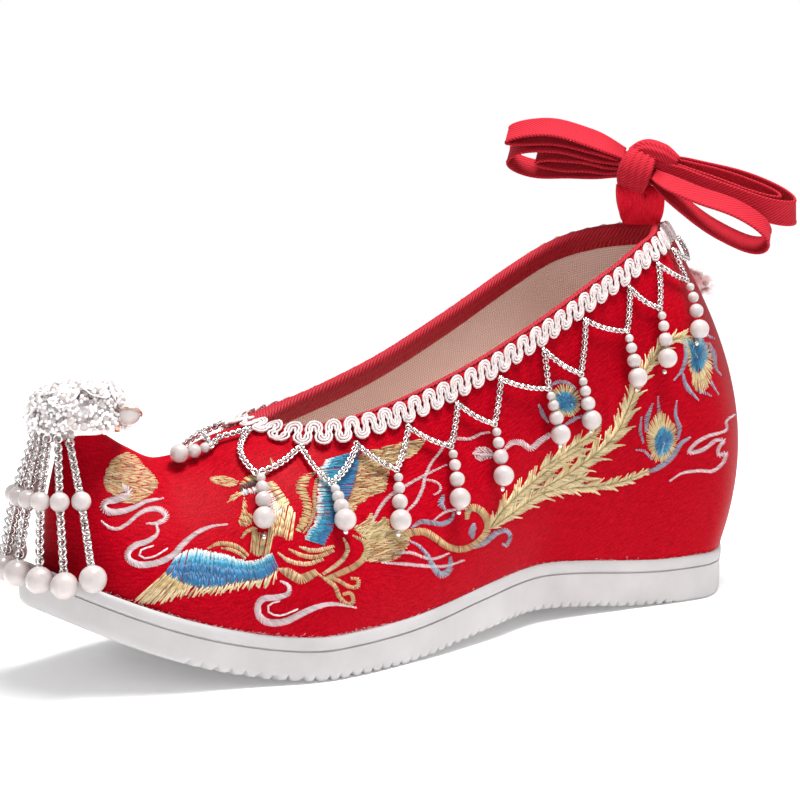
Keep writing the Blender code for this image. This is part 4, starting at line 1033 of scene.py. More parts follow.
def buildRosette():
    pick = random.Random(rosette["seed"])
    petalMarks, whiteMarks, seedMarks = [], [], []
    for n in range(rosette["flowers"]):        # small bead flowers all over the dome
        at, out = domePoint(goldenTurn * n + 0.4, math.sqrt((n + 0.4) / rosette["flowers"]) * 0.97)
        one = unit(np.cross(out, (0.3, 0.9, 0.1)))
        two = np.cross(out, one)
        at = at + pick.uniform(-0.3, 0.9) * out
        for k in range(rosette["petals"]):
            turn = 2 * math.pi * k / rosette["petals"] + pick.uniform(-0.2, 0.2)
            away = math.cos(turn) * one + math.sin(turn) * two
            petalMarks.append({"at": at + 0.5 * away, "along": away + pick.uniform(0.05, 0.3) * out,
                               "out": out - 0.3 * away,
                               "size": (pick.uniform(*rosette["petalLong"]),) * 3})
            seedMarks.append(ballMark(at + 1.6 * away + 1.5 * out, pick.uniform(0.4, 0.6)))
        whiteMarks.append(ballMark(at + 1.5 * out, pick.uniform(0.95, 1.25)))
    leafAt, leafY, leafZ, leafLong = rosette["leaf"]
    petalMarks.append({"at": place(leafAt, leafY, leafZ), "along": (-0.8, 0.6, 0.1), "out": (0, 0, 1),
                       "size": (leafLong,) * 3})
    for n in range(rosette["pearls"]):
        at, out = domePoint(goldenTurn * n + 0.7, math.sqrt((n + 0.5) / rosette["pearls"]) * 0.98)
        whiteMarks.append(ballMark(at + pick.uniform(0.9, 1.8) * out, pick.uniform(0.65, 1.1)))
    for n in range(2 * rosette["rim"]):         # two rows of pearls tucked round the rim
        turn = 2 * math.pi * n / rosette["rim"] + 0.1 * (n // rosette["rim"])
        at, out = domePoint(turn, 0.99)
        low = pick.uniform(-1.4, 0.4) if n < rosette["rim"] else pick.uniform(0.5, 1.6)
        whiteMarks.append(ballMark(at + pick.uniform(-0.6, 0.6) * out - low * up, pick.uniform(0.9, 1.4)))
    whiteMarks += [ballMark(place(*tie[:3]), tie[3]) for tie in rosette["ties"]]
    for n in range(rosette["seeds"]):
        # even over its height
        at, out = domePoint(pick.uniform(0, 2 * math.pi), (1 - pick.uniform(0.0, 0.99) ** 3) ** (1 / 3))
        seedMarks.append(ballMark(at + pick.uniform(0.2, 1.5) * out, pick.uniform(0.4, 0.62)))
    scatterPiece("rosette_petals", petalMarks, petalShape("petalShape"), petal)
    scatterPiece("rosette_pearls", whiteMarks, pearlBall, pearl)
    scatterPiece("rosette_seed_beads", seedMarks, seedBall, petal)
    rows = []      # padded heart under the petals
    for share in (0.0, 0.3, 0.55, 0.75, 0.9, 1.0, 0.8, 0.0):
        low = len(rows) > 5
        row = []
        for k in range(32):
            turn = 2 * math.pi * k / 32
            at, out = domePoint(turn, min(share, 1.0) * (0.9 + 0.04 * math.cos(8 * turn)))
            row.append(at - 1.0 * up if not low else np.array([at[0], at[1], rosette["base"] - 0.6]))
        rows.append(row)
    points, faces, corners = gridPatch(rows, closeAcross=True)
    makePiece("rosette_heart", points, faces, [petal], ["toe_rosette"])
    big, small = rosette["sidePearl"], rosette["peachBead"]
    middle, bead = place(*big[:3]), place(*small[:3])
    scatterPiece("rosette_side_pearls", [ballMark(middle, big[3])], pearlBall, pearl)
    scatterPiece("rosette_wire_bead", [ballMark(bead, small[3])], pearlBall, wire)
    turns = []
    for way in (1.0, 0.55):       # two turns of wire over the side pearl, then its run to the heart
        rise = viewUp * 0.5 + viewBack * 0.85 * way
        turns.append([middle + (big[3] + 0.25) * (math.cos(a) * viewRight + math.sin(a) * rise)
                      for a in np.linspace(-0.4, math.pi + 0.4, 24)])
    heart = place(rosette["at"] - 3, -4.0, 69.0)
    turns.append(roundCurve([middle - 0.5 * up, bead + 1.2 * up, heart], 14))
    growPiece("rosette_wire", pathSeed("wireSeed", turns), cords,
              {"Cord radius": 0.24 * mm, "Sides": 6, "Finish": wire})


buildRosette()
print("rosette built")


# heel loop, ribbon and bow

tape = {"width": 9.0, "thickness": 0.8,
        "section": ((-0.5, 0.0), (-0.48, 0.42), (-0.41, 0.62), (-0.35, 0.4), (0.35, 0.4), (0.41, 0.62),
                    (0.48, 0.42), (0.5, 0.0), (0.48, -0.42), (0.41, -0.62), (0.35, -0.4), (-0.35, -0.4),
                    (-0.41, -0.62), (-0.48, -0.42))}
heelTab = {"at": 30.0, "width": 15.2, "thickness": 0.9, "steps": 48,
           # depth to the viewer, height
           "path": ((-2.6, 118.4), (0.6, 120.4), (3.2, 123.2), (4.0, 126.4), (3.0, 129.2), (0.6, 130.8),
                    (-2.2, 129.6), (-3.8, 126.4), (-3.6, 122.6), (-3.0, 118.6))}
ribbonPass = {"at": 30.4, "height": 125.3, "halfLength": 3.8, "halfWidth": 2.2, "halfDepth": 1.5,
              "slope": 0.75, "steps": 12, "sides": 20}
knot = {"at": 32.0, "height": 137.6, "cadHalf": 5.0, "halfLength": 4.6, "halfHeight": 7.0, "lean": 20.0,
        "wrap": (6.2, 6.6, 9.8),       # half depth, half height and width of the tape over the knot
        "wrapDrop": 2.2, "wrapSteps": 64, "wrapColumns": 25, "coreSteps": 12, "tuckSteps": 20,
        "tuck": ((-1.5, 2.4, 0), (2.5, 4.2, 0.5), (7.5, 3.0, 1.0), (12.5, 0.2, 0.5)),
        "tuckRadii": (3.0, 3.6, 3.4, 2.2)}
bow = {"start": 2.6, "yaw": 52.0, "mouth": 0.4, "steps": 80, "loops": (
    # name, side, length, tilt of the tape, half gap at the knot, opening,
    # shift to the front, lift, rise, droop
    ("bow_loop_left_top", -1, 37.0, -50, 0.7, 3.8, 2.6, 1.6, 23.6, 15.8),
    ("bow_loop_left_middle", -1, 37.4, -50, 2.2, 10.8, -1.8, -0.8, 7.6, 4.0),
    ("bow_loop_left_low", -1, 28.0, -50, 0.7, 4.0, -1.8, -0.8, 5.8, 2.3),
    ("bow_loop_right_back", 1, 44.6, 26, 2.1, 12.6, -1.4, -0.2, -11.6, 3.2),
    ("bow_loop_right_middle", 1, 40.0, 26, 0.7, 7.2, -1.4, -0.2, -11.0, 2.6),
    ("bow_loop_right_front", 1, 37.6, -55, 0.7, 12.0, 9.6, -2.2, -27.8, -7.0))}


def closeTube(rows, flat):       # rings of points joined to a tube with both ends closed
    points, faces, corners = gridPatch(rows, closeAcross=True, uv=flat)
    count = len(rows[0])
    for start in (0, (len(rows) - 1) * count):
        faces.append([start + k for k in range(count)])
        corners += [(0.0, 0.0)] * count
    return points, faces, corners


def layTape(name, path, widthAxis, width, thickness, finish, replaced, waist=None,
            section=tape["section"], crease=None):
    rows, flat = [], []
    travel = 0.0
    for i, centre in enumerate(path):
        along = unit(path[min(i + 1, len(path) - 1)] - path[max(i - 1, 0)])
        face = unit(np.cross(along, widthAxis))
        travel += float(np.linalg.norm(centre - path[i - 1])) if i else 0.0
        share = waist(i / (len(path) - 1)) if waist else 1.0
        fold = [crease(i / (len(path) - 1), v) if crease else 0.0 for v, w in section]
        rows.append([centre + v * width * share * widthAxis + (w * thickness + f) * face
                     for (v, w), f in zip(section, fold)])
        flat.append([(travel, v * width) for v, w in section] + [(travel, -0.5 * width)])
    points, faces, corners = closeTube(rows, flat)
    return makePiece(name, points, faces, [finish], replaced, corners), travel


def bowAxes(side):
    yaw = math.radians(bow["yaw"])
    along = side * np.array([math.cos(yaw), -math.sin(yaw), 0.0])
    return along, np.array([-math.sin(yaw), -math.cos(yaw), 0.0])


def buildBow():
    centre = place(knot["at"], 0.0, knot["height"])
    for n, (name, side, length, tilt, root, opening, ahead, lift, rise, droop) in enumerate(bow["loops"]):
        along, front = bowAxes(side)
        turned = math.radians(tilt)
        widthAxis = math.cos(turned) * up + math.sin(turned) * front
        across = math.cos(turned) * front - math.sin(turned) * up
        base = centre + bow["start"] * along
        length += knot["cadHalf"] + upper["gap"] - bow["start"]
        path = []
        for k in range(bow["steps"] + 1):
            turn = (math.pi - bow["mouth"]) * (1 - 2 * k / bow["steps"])
            share = (1 + math.cos(turn)) / 2
            gap = root * (1 - share ** 6) + (0.5 * opening - 0.8 * root) * abs(math.sin(turn)) * share / 0.65
            sway = 0.22 * math.sin(4.0 * share * math.pi + n) * math.sin(math.pi * share)
            gap = math.copysign(gap, turn) + sway
            height = lift + rise * share - droop * share ** 2
            forward = ahead * ease(share / 0.2)
            path.append(base + length * share * along + forward * front + gap * across + height * up)
        piece, cut = layTape(name + "_tape", path, widthAxis, tape["width"], tape["thickness"], twill,
                             [name], lambda t: 0.7 + 0.3 * ease(min(t, 1 - t) / 0.14))
    buildKnot(centre)


def foldedTube(path, radii, ridges, sides=40):        # gathered tape: a tube with folds along it
    rows, flat = [], []
    across = None
    for i, point in enumerate(path):
        along = unit(path[min(i + 1, len(path) - 1)] - path[max(i - 1, 0)])
        if across is None:
            across = unit(np.cross(along, (0.31, 0.87, 0.38)))
        else:
            across = unit(across - along * np.dot(across, along))
        over = np.cross(along, across)
        row = []
        for k in range(sides):
            turn = 2 * math.pi * k / sides
            reach = radii[i] * (1 + 0.07 * math.cos(ridges * turn + 0.05 * i))
            row.append(point + reach * (math.cos(turn) * across + math.sin(turn) * over))
        rows.append(row)
        flat.append([(0.8 * i, 0.5 * k) for k in range(sides + 1)])
    return closeTube(rows, flat)


def buildKnot(centre):        # wrapped core, the tape over it and the tuck to the right
    along, front = bowAxes(1)
    lean = math.radians(knot["lean"])
    rise = math.cos(lean) * up + math.sin(lean) * along
    broad = math.cos(lean) * along - math.sin(lean) * up
    depth, height, width = knot["wrap"]
    steps, columns = knot["wrapSteps"], knot["wrapColumns"]
    rows = []
    for i in range(steps):
        turn = 2 * math.pi * i / steps
        away = math.cos(turn) * front + math.sin(turn) * rise
        middle = centre - knot["wrapDrop"] * up + depth * math.cos(turn) * front
        middle = middle + height * math.sin(turn) * rise
        row = []
        for s in np.linspace(-0.5, 0.5, columns):
            crown = 0.9 * (1 - (2 * s) ** 4) + 0.3 * math.cos(2 * math.pi * 4.5 * s + 0.6 * math.sin(turn))
            row.append(middle + s * width * (1 + 0.12 * math.cos(2 * turn)) * broad + crown * away)
        for s in (0.42, 0.0, -0.42):         # the hidden side
            row.append(middle + s * width * broad - 1.6 * away)
        rows.append(row)
    flat = [[(0.72 * i, 0.4 * k) for k in range(len(rows[0]) + 1)] for i in range(steps + 1)]
    wrap = gridPatch(rows, closeAlong=True, closeAcross=True, uv=flat)
    path = [centre + x * along + z * up + y * front
            for x, z, y in roundCurve(knot["tuck"], knot["tuckSteps"])]
    shares = np.linspace(0, 1, len(knot["tuckRadii"]))
    tuck = foldedTube(path, np.interp(np.linspace(0, 1, len(path)), shares, knot["tuckRadii"]), 9)
    heights = np.linspace(-knot["halfHeight"], knot["halfHeight"] * 0.6, knot["coreSteps"])
    half = (knot["coreSteps"] - 1) / 2
    girths = [knot["halfLength"] * math.sqrt(max(1 - (abs(k - half) / 6.2) ** 3, 0.1))
              for k in range(knot["coreSteps"])]
    core = foldedTube([centre + z * up for z in heights], girths, 7)
    points, faces, corners = [], [], []
    for shell in (wrap, tuck, core):
        start = len(points)
        points += list(shell[0])
        faces += [[v + start for v in face] for face in shell[1]]
        corners += shell[2]
    makePiece("bow_knot_tape", points, faces, [twill], ["bow_knot"], corners)


def buildHeelTab():
    toViewer = unit(np.array([viewBack[0], viewBack[1], 0.0]))
    path = [place(heelTab["at"], 0.0, z) + depth * toViewer
            for depth, z in roundCurve(heelTab["path"], heelTab["steps"])]
    last = heelTab["steps"] - 1
    path = [point - 0.9 * math.sin(math.pi * k / last) * viewRight for k, point in enumerate(path)]
    section = [(v, 0.5) for v in np.linspace(-0.5, 0.5, 17)]
    section += [(v, -0.5) for v in np.linspace(0.5, -0.5, 17)]

    def crease(t, v):       # two slanting folds down the front
        ridge = math.exp(-((v + 0.12 - 1.5 * (t - 0.28)) / 0.11) ** 2)
        groove = math.exp(-((v - 0.2 + 1.2 * (t - 0.2)) / 0.1) ** 2)
        return 0.75 * ridge - 0.6 * groove

    def waist(t):
        return 0.74 + 0.28 * math.sin(math.pi * t) + 0.03 * math.sin(9 * t)

    layTape("heel_loop_tab", path, viewRight, heelTab["width"], heelTab["thickness"], paintedLightTabSatin,
            ["heel_loop"], waist, section, crease)
    rows, flat = [], []
    steps, sides = ribbonPass["steps"], ribbonPass["sides"]
    for i in range(steps + 1):
        y = ribbonPass["halfLength"] * (2 * i / steps - 1)
        row = []
        for k in range(sides):
            turn = 2 * math.pi * k / sides
            fold = 1 + 0.08 * math.sin(3 * turn + 0.3 * i)
            ahead = ribbonPass["halfWidth"] * math.cos(turn) * fold
            height = ribbonPass["height"] + ribbonPass["halfDepth"] * math.sin(turn) * fold
            row.append(place(ribbonPass["at"] + ahead, y, height + ribbonPass["slope"] * ahead))
        rows.append(row)
        flat.append([(y, 0.6 * k) for k in range(sides + 1)])
    points, faces, corners = closeTube(rows, flat)
    makePiece("ribbon_pass_tape", points, faces, [twill], ["ribbon_pass"], corners)


buildBow()
buildHeelTab()
print("ribbon tied")

# embroidery, drawn on three enlarged sheets of the near wall and sewn on both sides

threads = {"gold": "#D8BE86", "straw": "#E6D3A4", "bronze": "#B08A4E", "white": "#E9E0DE", "pink": "#E9D5D8",
           "blue": "#1F78AA", "deep": "#1A5C90", "teal": "#2E98BA", "sky": "#A6D2DE", "grey": "#9DB4C8",
           "black": "#2A2322"}
# left and top of each sheet in the picture and how far it is enlarged, px
sheets = {"bird": (90, 430, 4.612), "tail": (370, 410, 7.467), "plume": (540, 310, 7.467)}
# steps, thinnest and longest in px, the rest in mm
sewing = {"seed": 11, "spacing": 1.4, "scrollStep": 1.6, "rayStep": 1.15, "coreStep": 1.1, "thinnest": 1.6,
          "longest": 15.0, "width": 0.45, "height": 0.34, "sink": 0.03, "kept": (0.3, 12.0),
          "farFrom": 120.0}
sewingPick = random.Random(sewing["seed"])
stitches = []


def onSheet(sheet, points):
    left, top, scale = sheets[sheet]
    return np.array([(left + x / scale, top + y / scale) for x, y in points], dtype=float)


# one stitch, split where it would bridge the curve of the wall
def sew(a, b, colour, lift=0.0, width=1.0):
    a, b = np.asarray(a, float), np.asarray(b, float)
    parts = max(1, math.ceil(np.linalg.norm(b - a) / sewing["longest"]))
    for k in range(parts):
        stitches.append((a + (b - a) * k / parts, a + (b - a) * (k + 1) / parts, colour, lift, width))


def jitter(amount):
    return np.array([sewingPick.uniform(-amount, amount), sewingPick.uniform(-amount, amount)])


def pathLength(points):
    return float(np.sum(np.linalg.norm(np.diff(points, axis=0), axis=1)))


# stitches across two rails
def satinStitch(sheet, left, right, shades, lift=0.0, spacing=1.0, ragged=1.2):
    left, right = onSheet(sheet, left), onSheet(sheet, right)
    count = max(4, int(max(pathLength(left), pathLength(right)) / (0.8 * sewing["spacing"] * spacing)))
    for a, b in zip(roundCurve(left, count), roundCurve(right, count)):
        a, b = a + jitter(ragged), b + jitter(ragged)
        start = 0.0
        for end, colour in shades:
            stop = min(1.0, end + sewingPick.uniform(-0.09, 0.09)) if end < 1 else 1.0
            sew(a + (b - a) * start, a + (b - a) * stop, colour, lift)
            start = max(stop - 0.04, 0.0)


def scroll(sheet, path, widths, colour, lift=0.03, slant=0.5):       # slanting stitches along a curling line
    scale = sheets[sheet][2]
    path = onSheet(sheet, path)
    count = max(6, int(pathLength(path) / sewing["scrollStep"]))
    line = roundCurve(path, count)
    broad = np.interp(np.linspace(0, 1, count), np.linspace(0, 1, len(widths)), widths) / scale
    along = np.gradient(line, axis=0)
    along /= np.linalg.norm(along, axis=1)[:, None]
    for point, way, wide in zip(line, along, broad):
        wide = max(wide, sewing["thinnest"])
        side = np.array([-way[1], way[0]])
        reach = side * wide / 2 + way * wide * slant
        sew(point - reach + jitter(0.25), point + reach + jitter(0.25), colour, lift, 0.9)


def stemLine(sheet, path, colour, lift=0.05, width=0.9):        # a run of short stitches along a line
    path = onSheet(sheet, path)
    line = roundCurve(path, max(3, int(pathLength(path) / 5.0)))
    for a, b in zip(line, line[1:]):
        sew(a - 0.15 * (b - a), b + 0.15 * (b - a), colour, lift, width)


# staggered rows inside an outline
def fillShape(sheet, outline, angle, colours, run=13.0, lift=0.0, spacing=1.0):
    edge = onSheet(sheet, outline)
    edge = roundCurve(np.vstack([edge, edge[:1]]), 10 * len(edge))[:-1]
    turn = math.radians(angle)
    along, across = np.array([math.cos(turn), math.sin(turn)]), np.array([-math.sin(turn), math.cos(turn)])
    u, v = edge @ along, edge @ across
    row, at = 0, v.min() + 0.6
    while at < v.max() - 0.4:
        cuts = []
        for i in range(len(edge)):
            j = (i + 1) % len(edge)
            if (v[i] - at) * (v[j] - at) < 0:
                cuts.append(u[i] + (u[j] - u[i]) * (at - v[i]) / (v[j] - v[i]))
        cuts.sort()
        for first, last in zip(cuts[::2], cuts[1::2]):
            first, last = first + sewingPick.uniform(-1.2, 0.6), last + sewingPick.uniform(-0.6, 1.2)
            start = first
            stop = first + run * ((0.35, 0.85, 0.6)[row % 3] + sewingPick.uniform(-0.1, 0.1))
            while start < last - 0.8:
                stop = min(stop, last)
                wave = 0.5 * math.sin(start * 0.35 + row)
                sew(start * along + (at + wave) * across, (stop - 0.5) * along + (at - wave) * across,
                    sewingPick.choice(colours), lift)
                start, stop = stop + 0.4, stop + run * sewingPick.uniform(0.85, 1.1)
        row, at = row + 1, at + sewing["spacing"] * spacing


def plume(sheet, spine, barb, colours, lift=0.0, lean=38, tuft=4):       # barbed feather along a spine
    scale = sheets[sheet][2]
    path = onSheet(sheet, spine)
    count = int(pathLength(path) / sewing["rayStep"])
    line = roundCurve(path, count)
    along = np.gradient(line, axis=0)
    along /= np.linalg.norm(along, axis=1)[:, None]
    for k, (point, way) in enumerate(zip(line, along)):
        share = k / (count - 1)
        reach = np.interp(share, np.linspace(0, 1, len(barb)), barb) / scale
        # barbs grow into pointed tufts
        grow = [0.4 + 0.85 * (((k + late) / tuft / 2.0) % 1.0) for late in (0, tuft)]
        for hand in (-1, 1):
            turn = math.radians(hand * (lean + 10 * math.sin(0.4 * k)))
            aim = np.array([way[0] * math.cos(turn) - way[1] * math.sin(turn),
                            way[0] * math.sin(turn) + way[1] * math.cos(turn)])
            sew(point, point + aim * reach * grow[hand > 0] * sewingPick.uniform(0.9, 1.12),
                sewingPick.choice(colours), lift)
    for a, b in zip(line[::4], line[4::4]):
        sew(a, b, "bronze", lift + 0.16, 0.55)


def eyeSpot(sheet, rim, core, heart, lift=0.0):      # peacock eye: gold rim of rays, blue core, pale heart
    rim, core = (np.vstack([ring, ring[:1]]) for ring in (onSheet(sheet, rim), onSheet(sheet, core)))
    middle = core[:-1].mean(axis=0)
    for point in roundCurve(rim, int(pathLength(rim) / sewing["rayStep"])):
        inner = middle + (point - middle) * 0.45
        sew(point + jitter(1.2), inner, sewingPick.choice(("gold", "straw", "gold")), lift)
    ring = roundCurve(core, int(pathLength(core) / sewing["coreStep"]))
    for point in ring:
        sew(point + jitter(0.8), middle + (point - middle) * 0.42,
            sewingPick.choice(("teal", "blue", "teal")), lift + 0.12)
        sew(middle + (point - middle) * 0.62 + jitter(0.8), middle + jitter(1.0),
            sewingPick.choice(("blue", "deep")), lift + 0.2)
    heart = onSheet(sheet, heart)
    for t in np.linspace(0, 1, 5):
        spot = heart[0] + (heart[1] - heart[0]) * t
        sew(spot + jitter(1.2), spot + (heart[1] - heart[0]) * 0.3 + jitter(1.2), "sky", lift + 0.28)


def drawSunAndClouds():
    fillShape("bird", ((165, 102), (120, 125), (85, 170), (68, 220), (75, 270), (110, 300), (150, 330),
                       (200, 340), (250, 320), (295, 285), (315, 245), (290, 200), (250, 165), (215, 120)),
              8, ("straw", "gold", "straw"), run=20.0)
    scroll("bird", ((150, 262), (178, 290), (130, 318), (78, 335), (66, 360), (95, 378), (150, 375),
                    (210, 355), (260, 330), (335, 318)), (24, 34, 34, 34, 32, 28, 24, 20, 16, 5), "pink",
           0.2)
    scroll("bird", ((55, 422), (90, 450), (130, 455), (175, 430), (215, 395), (260, 370), (310, 365),
                    (345, 385), (345, 410), (310, 430), (262, 432)),
           (5, 14, 16, 16, 16, 20, 24, 28, 26, 18, 5), "pink")
    scroll("bird", ((305, 435), (310, 475), (270, 510), (215, 530), (180, 560), (180, 595), (215, 618),
                    (270, 620), (330, 605), (390, 570), (430, 525), (490, 475), (560, 445), (632, 435)),
           (8, 18, 26, 28, 30, 30, 28, 28, 26, 26, 22, 18, 12, 4), "pink")
    stemLine("bird", ((290, 535), (238, 552), (226, 575), (250, 592), (300, 582), (355, 548)), "pink",
             width=1.2)
    scroll("bird", ((880, 698), (915, 720), (910, 755), (860, 772), (800, 780), (775, 815), (785, 862),
                    (830, 888), (900, 882), (970, 850), (1040, 818), (1120, 802), (1225, 818)),
           (8, 22, 26, 28, 30, 32, 32, 30, 28, 24, 18, 12, 4), "pink")
    stemLine("bird", ((872, 790), (826, 805), (826, 842), (880, 856), (955, 828)), "pink", width=1.2)
    scroll("plume", ((970, 1275), (1060, 1220), (1180, 1200), (1290, 1200), (1365, 1140), (1388, 1070),
                     (1335, 1085), (1335, 1030), (1370, 975), (1310, 975), (1220, 1040), (1110, 1065),
                     (1170, 990), (1260, 940), (1385, 900), (1392, 830), (1450, 780)),
           (8, 16, 20, 22, 24, 26, 28, 26, 26, 28, 30, 26, 26, 24, 20, 18, 14), "pink")


def drawHead():
    fillShape("bird", ((548, 220), (600, 210), (682, 234), (655, 264), (600, 252), (565, 242)), 14,
              ("gold", "straw"), run=22)
    satinStitch("bird", ((690, 246), (715, 222), (760, 205), (800, 180)),
                ((705, 252), (740, 240), (785, 226), (828, 196)), ((1, "gold"),))
    scroll("bird", ((822, 190), (842, 160), (832, 138)), (14, 16, 12), "gold")
    satinStitch("bird", ((686, 262), (718, 248), (764, 236)), ((700, 282), (732, 268), (772, 258)),
                ((1, "black"),), 0.08)
    satinStitch("bird", ((690, 284), (730, 272), (776, 262)), ((712, 300), (748, 292), (784, 286)),
                ((1, "white"),), 0.05)
    fillShape("bird", ((634, 338), (650, 306), (684, 284), (708, 292), (682, 312)), -35, ("gold", "straw"),
              run=20)
    fillShape("bird", ((710, 308), (724, 345), (722, 376), (756, 400), (746, 430), (710, 446), (684, 430),
                       (700, 386), (706, 340)), 62, ("gold", "gold", "bronze"), run=11)
    satinStitch("bird", ((780, 250), (800, 330), (850, 400)), ((845, 240), (885, 285), (924, 340)),
                ((0.55, "white"), (1, "straw")))
    satinStitch("bird", ((850, 335), (872, 330), (925, 352), (948, 392)),
                ((820, 500), (862, 482), (905, 505), (930, 505)), ((0.5, "straw"), (1, "gold")))
    satinStitch("bird", ((752, 460), (790, 470), (845, 478)), ((742, 560), (775, 580), (822, 582)),
                ((0.5, "gold"), (1, "gold")))
    scroll("bird", ((700, 497), (722, 470), (760, 452)), (10, 16, 18), "gold")


def drawWings():
    for path, wide in ((((545, 546), (590, 526), (640, 526), (690, 545), (728, 578)), 20),
                       (((608, 546), (650, 552), (690, 570), (716, 592)), 16)):
        scroll("bird", path, (6, wide, wide, wide, 12), "gold", 0.06, 0.15)
    satinStitch("bird", ((395, 592), (430, 566), (480, 550), (540, 560), (620, 576), (700, 602), (770, 602),
                         (832, 570)), ((345, 665), (400, 692), (480, 722), (560, 728), (640, 712),
                                       (720, 697), (800, 686), (866, 640)),
                ((0.09, "white"), (0.2, "sky"), (0.45, "teal"), (1, "blue")), 0.06, 0.62)
    satinStitch("bird", ((395, 620), (470, 610), (560, 620), (650, 640)),
                ((420, 680), (500, 700), (580, 705), (650, 690)), ((1, "deep"),), 0.14, 1.6)
    satinStitch("bird", ((352, 656), (380, 672), (410, 690), (440, 704)),
                ((205, 786), (270, 796), (330, 792), (388, 776)), ((0.5, "gold"), (1, "straw")), 0.0, 0.9,
                2.2)
    satinStitch("bird", ((440, 704), (520, 722), (620, 712), (720, 696), (800, 684), (862, 650)),
                ((405, 770), (500, 760), (600, 752), (700, 732), (800, 722), (850, 700)), ((1, "straw"),),
                0.0, 1.15, 2.4)
    satinStitch("bird", ((992, 205), (956, 240), (955, 282), (978, 330), (984, 372), (968, 420), (945, 458)),
                ((1040, 196), (1008, 240), (1002, 284), (1018, 330), (1022, 380), (1004, 430), (972, 474)),
                ((1, "gold"),), 0.03)
    scroll("bird", ((1045, 225), (1034, 300), (1036, 360), (1016, 428), (985, 474)), (12, 18, 18, 16, 8),
           "gold", 0.05, 0.1)
    satinStitch("bird", ((1092, 140), (1060, 182), (1052, 262), (1046, 342), (1040, 412), (988, 500)),
                ((1240, 96), (1232, 190), (1208, 272), (1180, 332), (1132, 422), (1082, 526)),
                ((0.1, "white"), (0.24, "sky"), (0.6, "teal"), (1, "blue")), 0.06, 0.8)
    fillShape("bird", ((1240, 112), (1330, 84), (1450, 56), (1545, 46), (1500, 112), (1420, 150),
                       (1382, 192), (1372, 242), (1360, 282), (1282, 312), (1262, 332), (1206, 350),
                       (1188, 334), (1210, 280), (1230, 210)), -9, ("gold", "straw", "gold", "bronze"),
              run=17)
    fillShape("bird", ((1180, 345), (1236, 338), (1210, 384), (1160, 392)), -8, ("straw", "gold"), run=15)


def drawBody():
    for path, wide, colour in (
            (((968, 540), (1020, 556), (1070, 552), (1122, 536)), 20, "straw"),
            (((918, 550), (980, 580), (1050, 584), (1122, 556)), 20, "gold"),
            (((868, 568), (920, 604), (1000, 618), (1072, 596)), 20, "straw"),
            (((865, 640), (920, 662), (970, 688), (1010, 672), (1044, 655)), 44, "gold"),
            (((1040, 655), (1092, 692), (1130, 722), (1150, 770), (1190, 804), (1214, 788), (1200, 752),
              (1168, 758)), 20, "gold"),
            (((1090, 684), (1140, 692), (1190, 720), (1230, 724), (1236, 690), (1204, 684)), 18, "gold"),
            (((1170, 500), (1188, 550), (1162, 600), (1112, 640), (1078, 662)), 20, "straw"),
            (((1212, 488), (1266, 518), (1274, 570), (1230, 622), (1150, 662), (1098, 682)), 28, "gold")):
        scroll("bird", path, (8, wide, wide, wide, wide * 0.7), colour, 0.05, 0.12)
    fillShape("bird", ((1215, 452), (1268, 420), (1300, 382), (1318, 420), (1376, 412), (1372, 450),
                       (1430, 470), (1382, 502), (1294, 512), (1250, 486)), -28, ("gold", "straw"), run=12)
    fillShape("tail", ((-60, 905), (20, 850), (70, 835), (100, 800), (140, 830), (150, 880), (262, 910),
                       (300, 962), (268, 1040), (180, 1122), (60, 1136), (-70, 1110), (-20, 1010)), -10,
              ("gold", "straw", "gold", "bronze"), run=14)


def drawTendrils():
    for path, widths, colour in (
            (((20, 830), (80, 720), (150, 640), (260, 570), (400, 490), (570, 410)), (22, 26, 26, 22, 18, 8),
             "pink"),
            (((270, 760), (340, 690), (390, 590), (410, 500), (460, 390), (510, 330)),
             (14, 22, 24, 22, 20, 16), "pink"),
            (((400, 520), (470, 530), (520, 560), (522, 606), (480, 632)), (14, 18, 18, 18, 14), "pink"),
            (((510, 330), (570, 250), (640, 216), (740, 216), (830, 176), (890, 166)),
             (20, 24, 24, 24, 22, 14), "pink"),
            (((1000, 300), (1060, 246), (1130, 246), (1200, 286), (1270, 232), (1345, 180)),
             (20, 42, 44, 44, 42, 34), "pink"),
            (((190, 1070), (300, 1065), (400, 1100), (480, 1110), (590, 1070)), (14, 22, 22, 20, 12), "pink"),
            (((90, 1140), (250, 1150), (420, 1165), (560, 1165), (700, 1122)), (12, 24, 24, 20, 10), "pink"),
            (((480, 822), (560, 762), (640, 742), (722, 736)), (12, 20, 20, 12), "pink"),
            (((310, 880), (380, 836), (460, 842), (540, 852), (608, 812), (622, 770)),
             (12, 34, 36, 36, 34, 14), "grey"),
            (((780, 1030), (860, 990), (940, 920), (1010, 900), (1046, 940), (1020, 1010), (990, 1000)),
             (14, 36, 40, 38, 34, 28, 16), "grey"),
            (((300, 980), (370, 1020), (430, 1090), (470, 1170), (530, 1228), (590, 1190), (600, 1100)),
             (14, 24, 30, 44, 54, 44, 22), "grey"),
            (((545, 640), (530, 690), (560, 740)), (20, 56, 16), "grey"),
            (((772, 850), (762, 900), (770, 958)), (20, 62, 20), "grey")):
        scroll("tail", path, widths, colour, 0.04, 0.3)
    fillShape("tail", ((765, 310), (830, 276), (892, 290), (930, 330), (872, 372), (800, 372)), 28,
              ("white", "pink"), run=9)
    scroll("tail", ((180, 975), (280, 922), (400, 910), (490, 960), (580, 1020), (680, 1040), (770, 1010),
                    (850, 940), (880, 860), (852, 782), (790, 732), (738, 742), (722, 812)),
           (50, 60, 54, 54, 52, 48, 46, 46, 46, 52, 60, 56, 30), "gold", 0.1, 0.15)


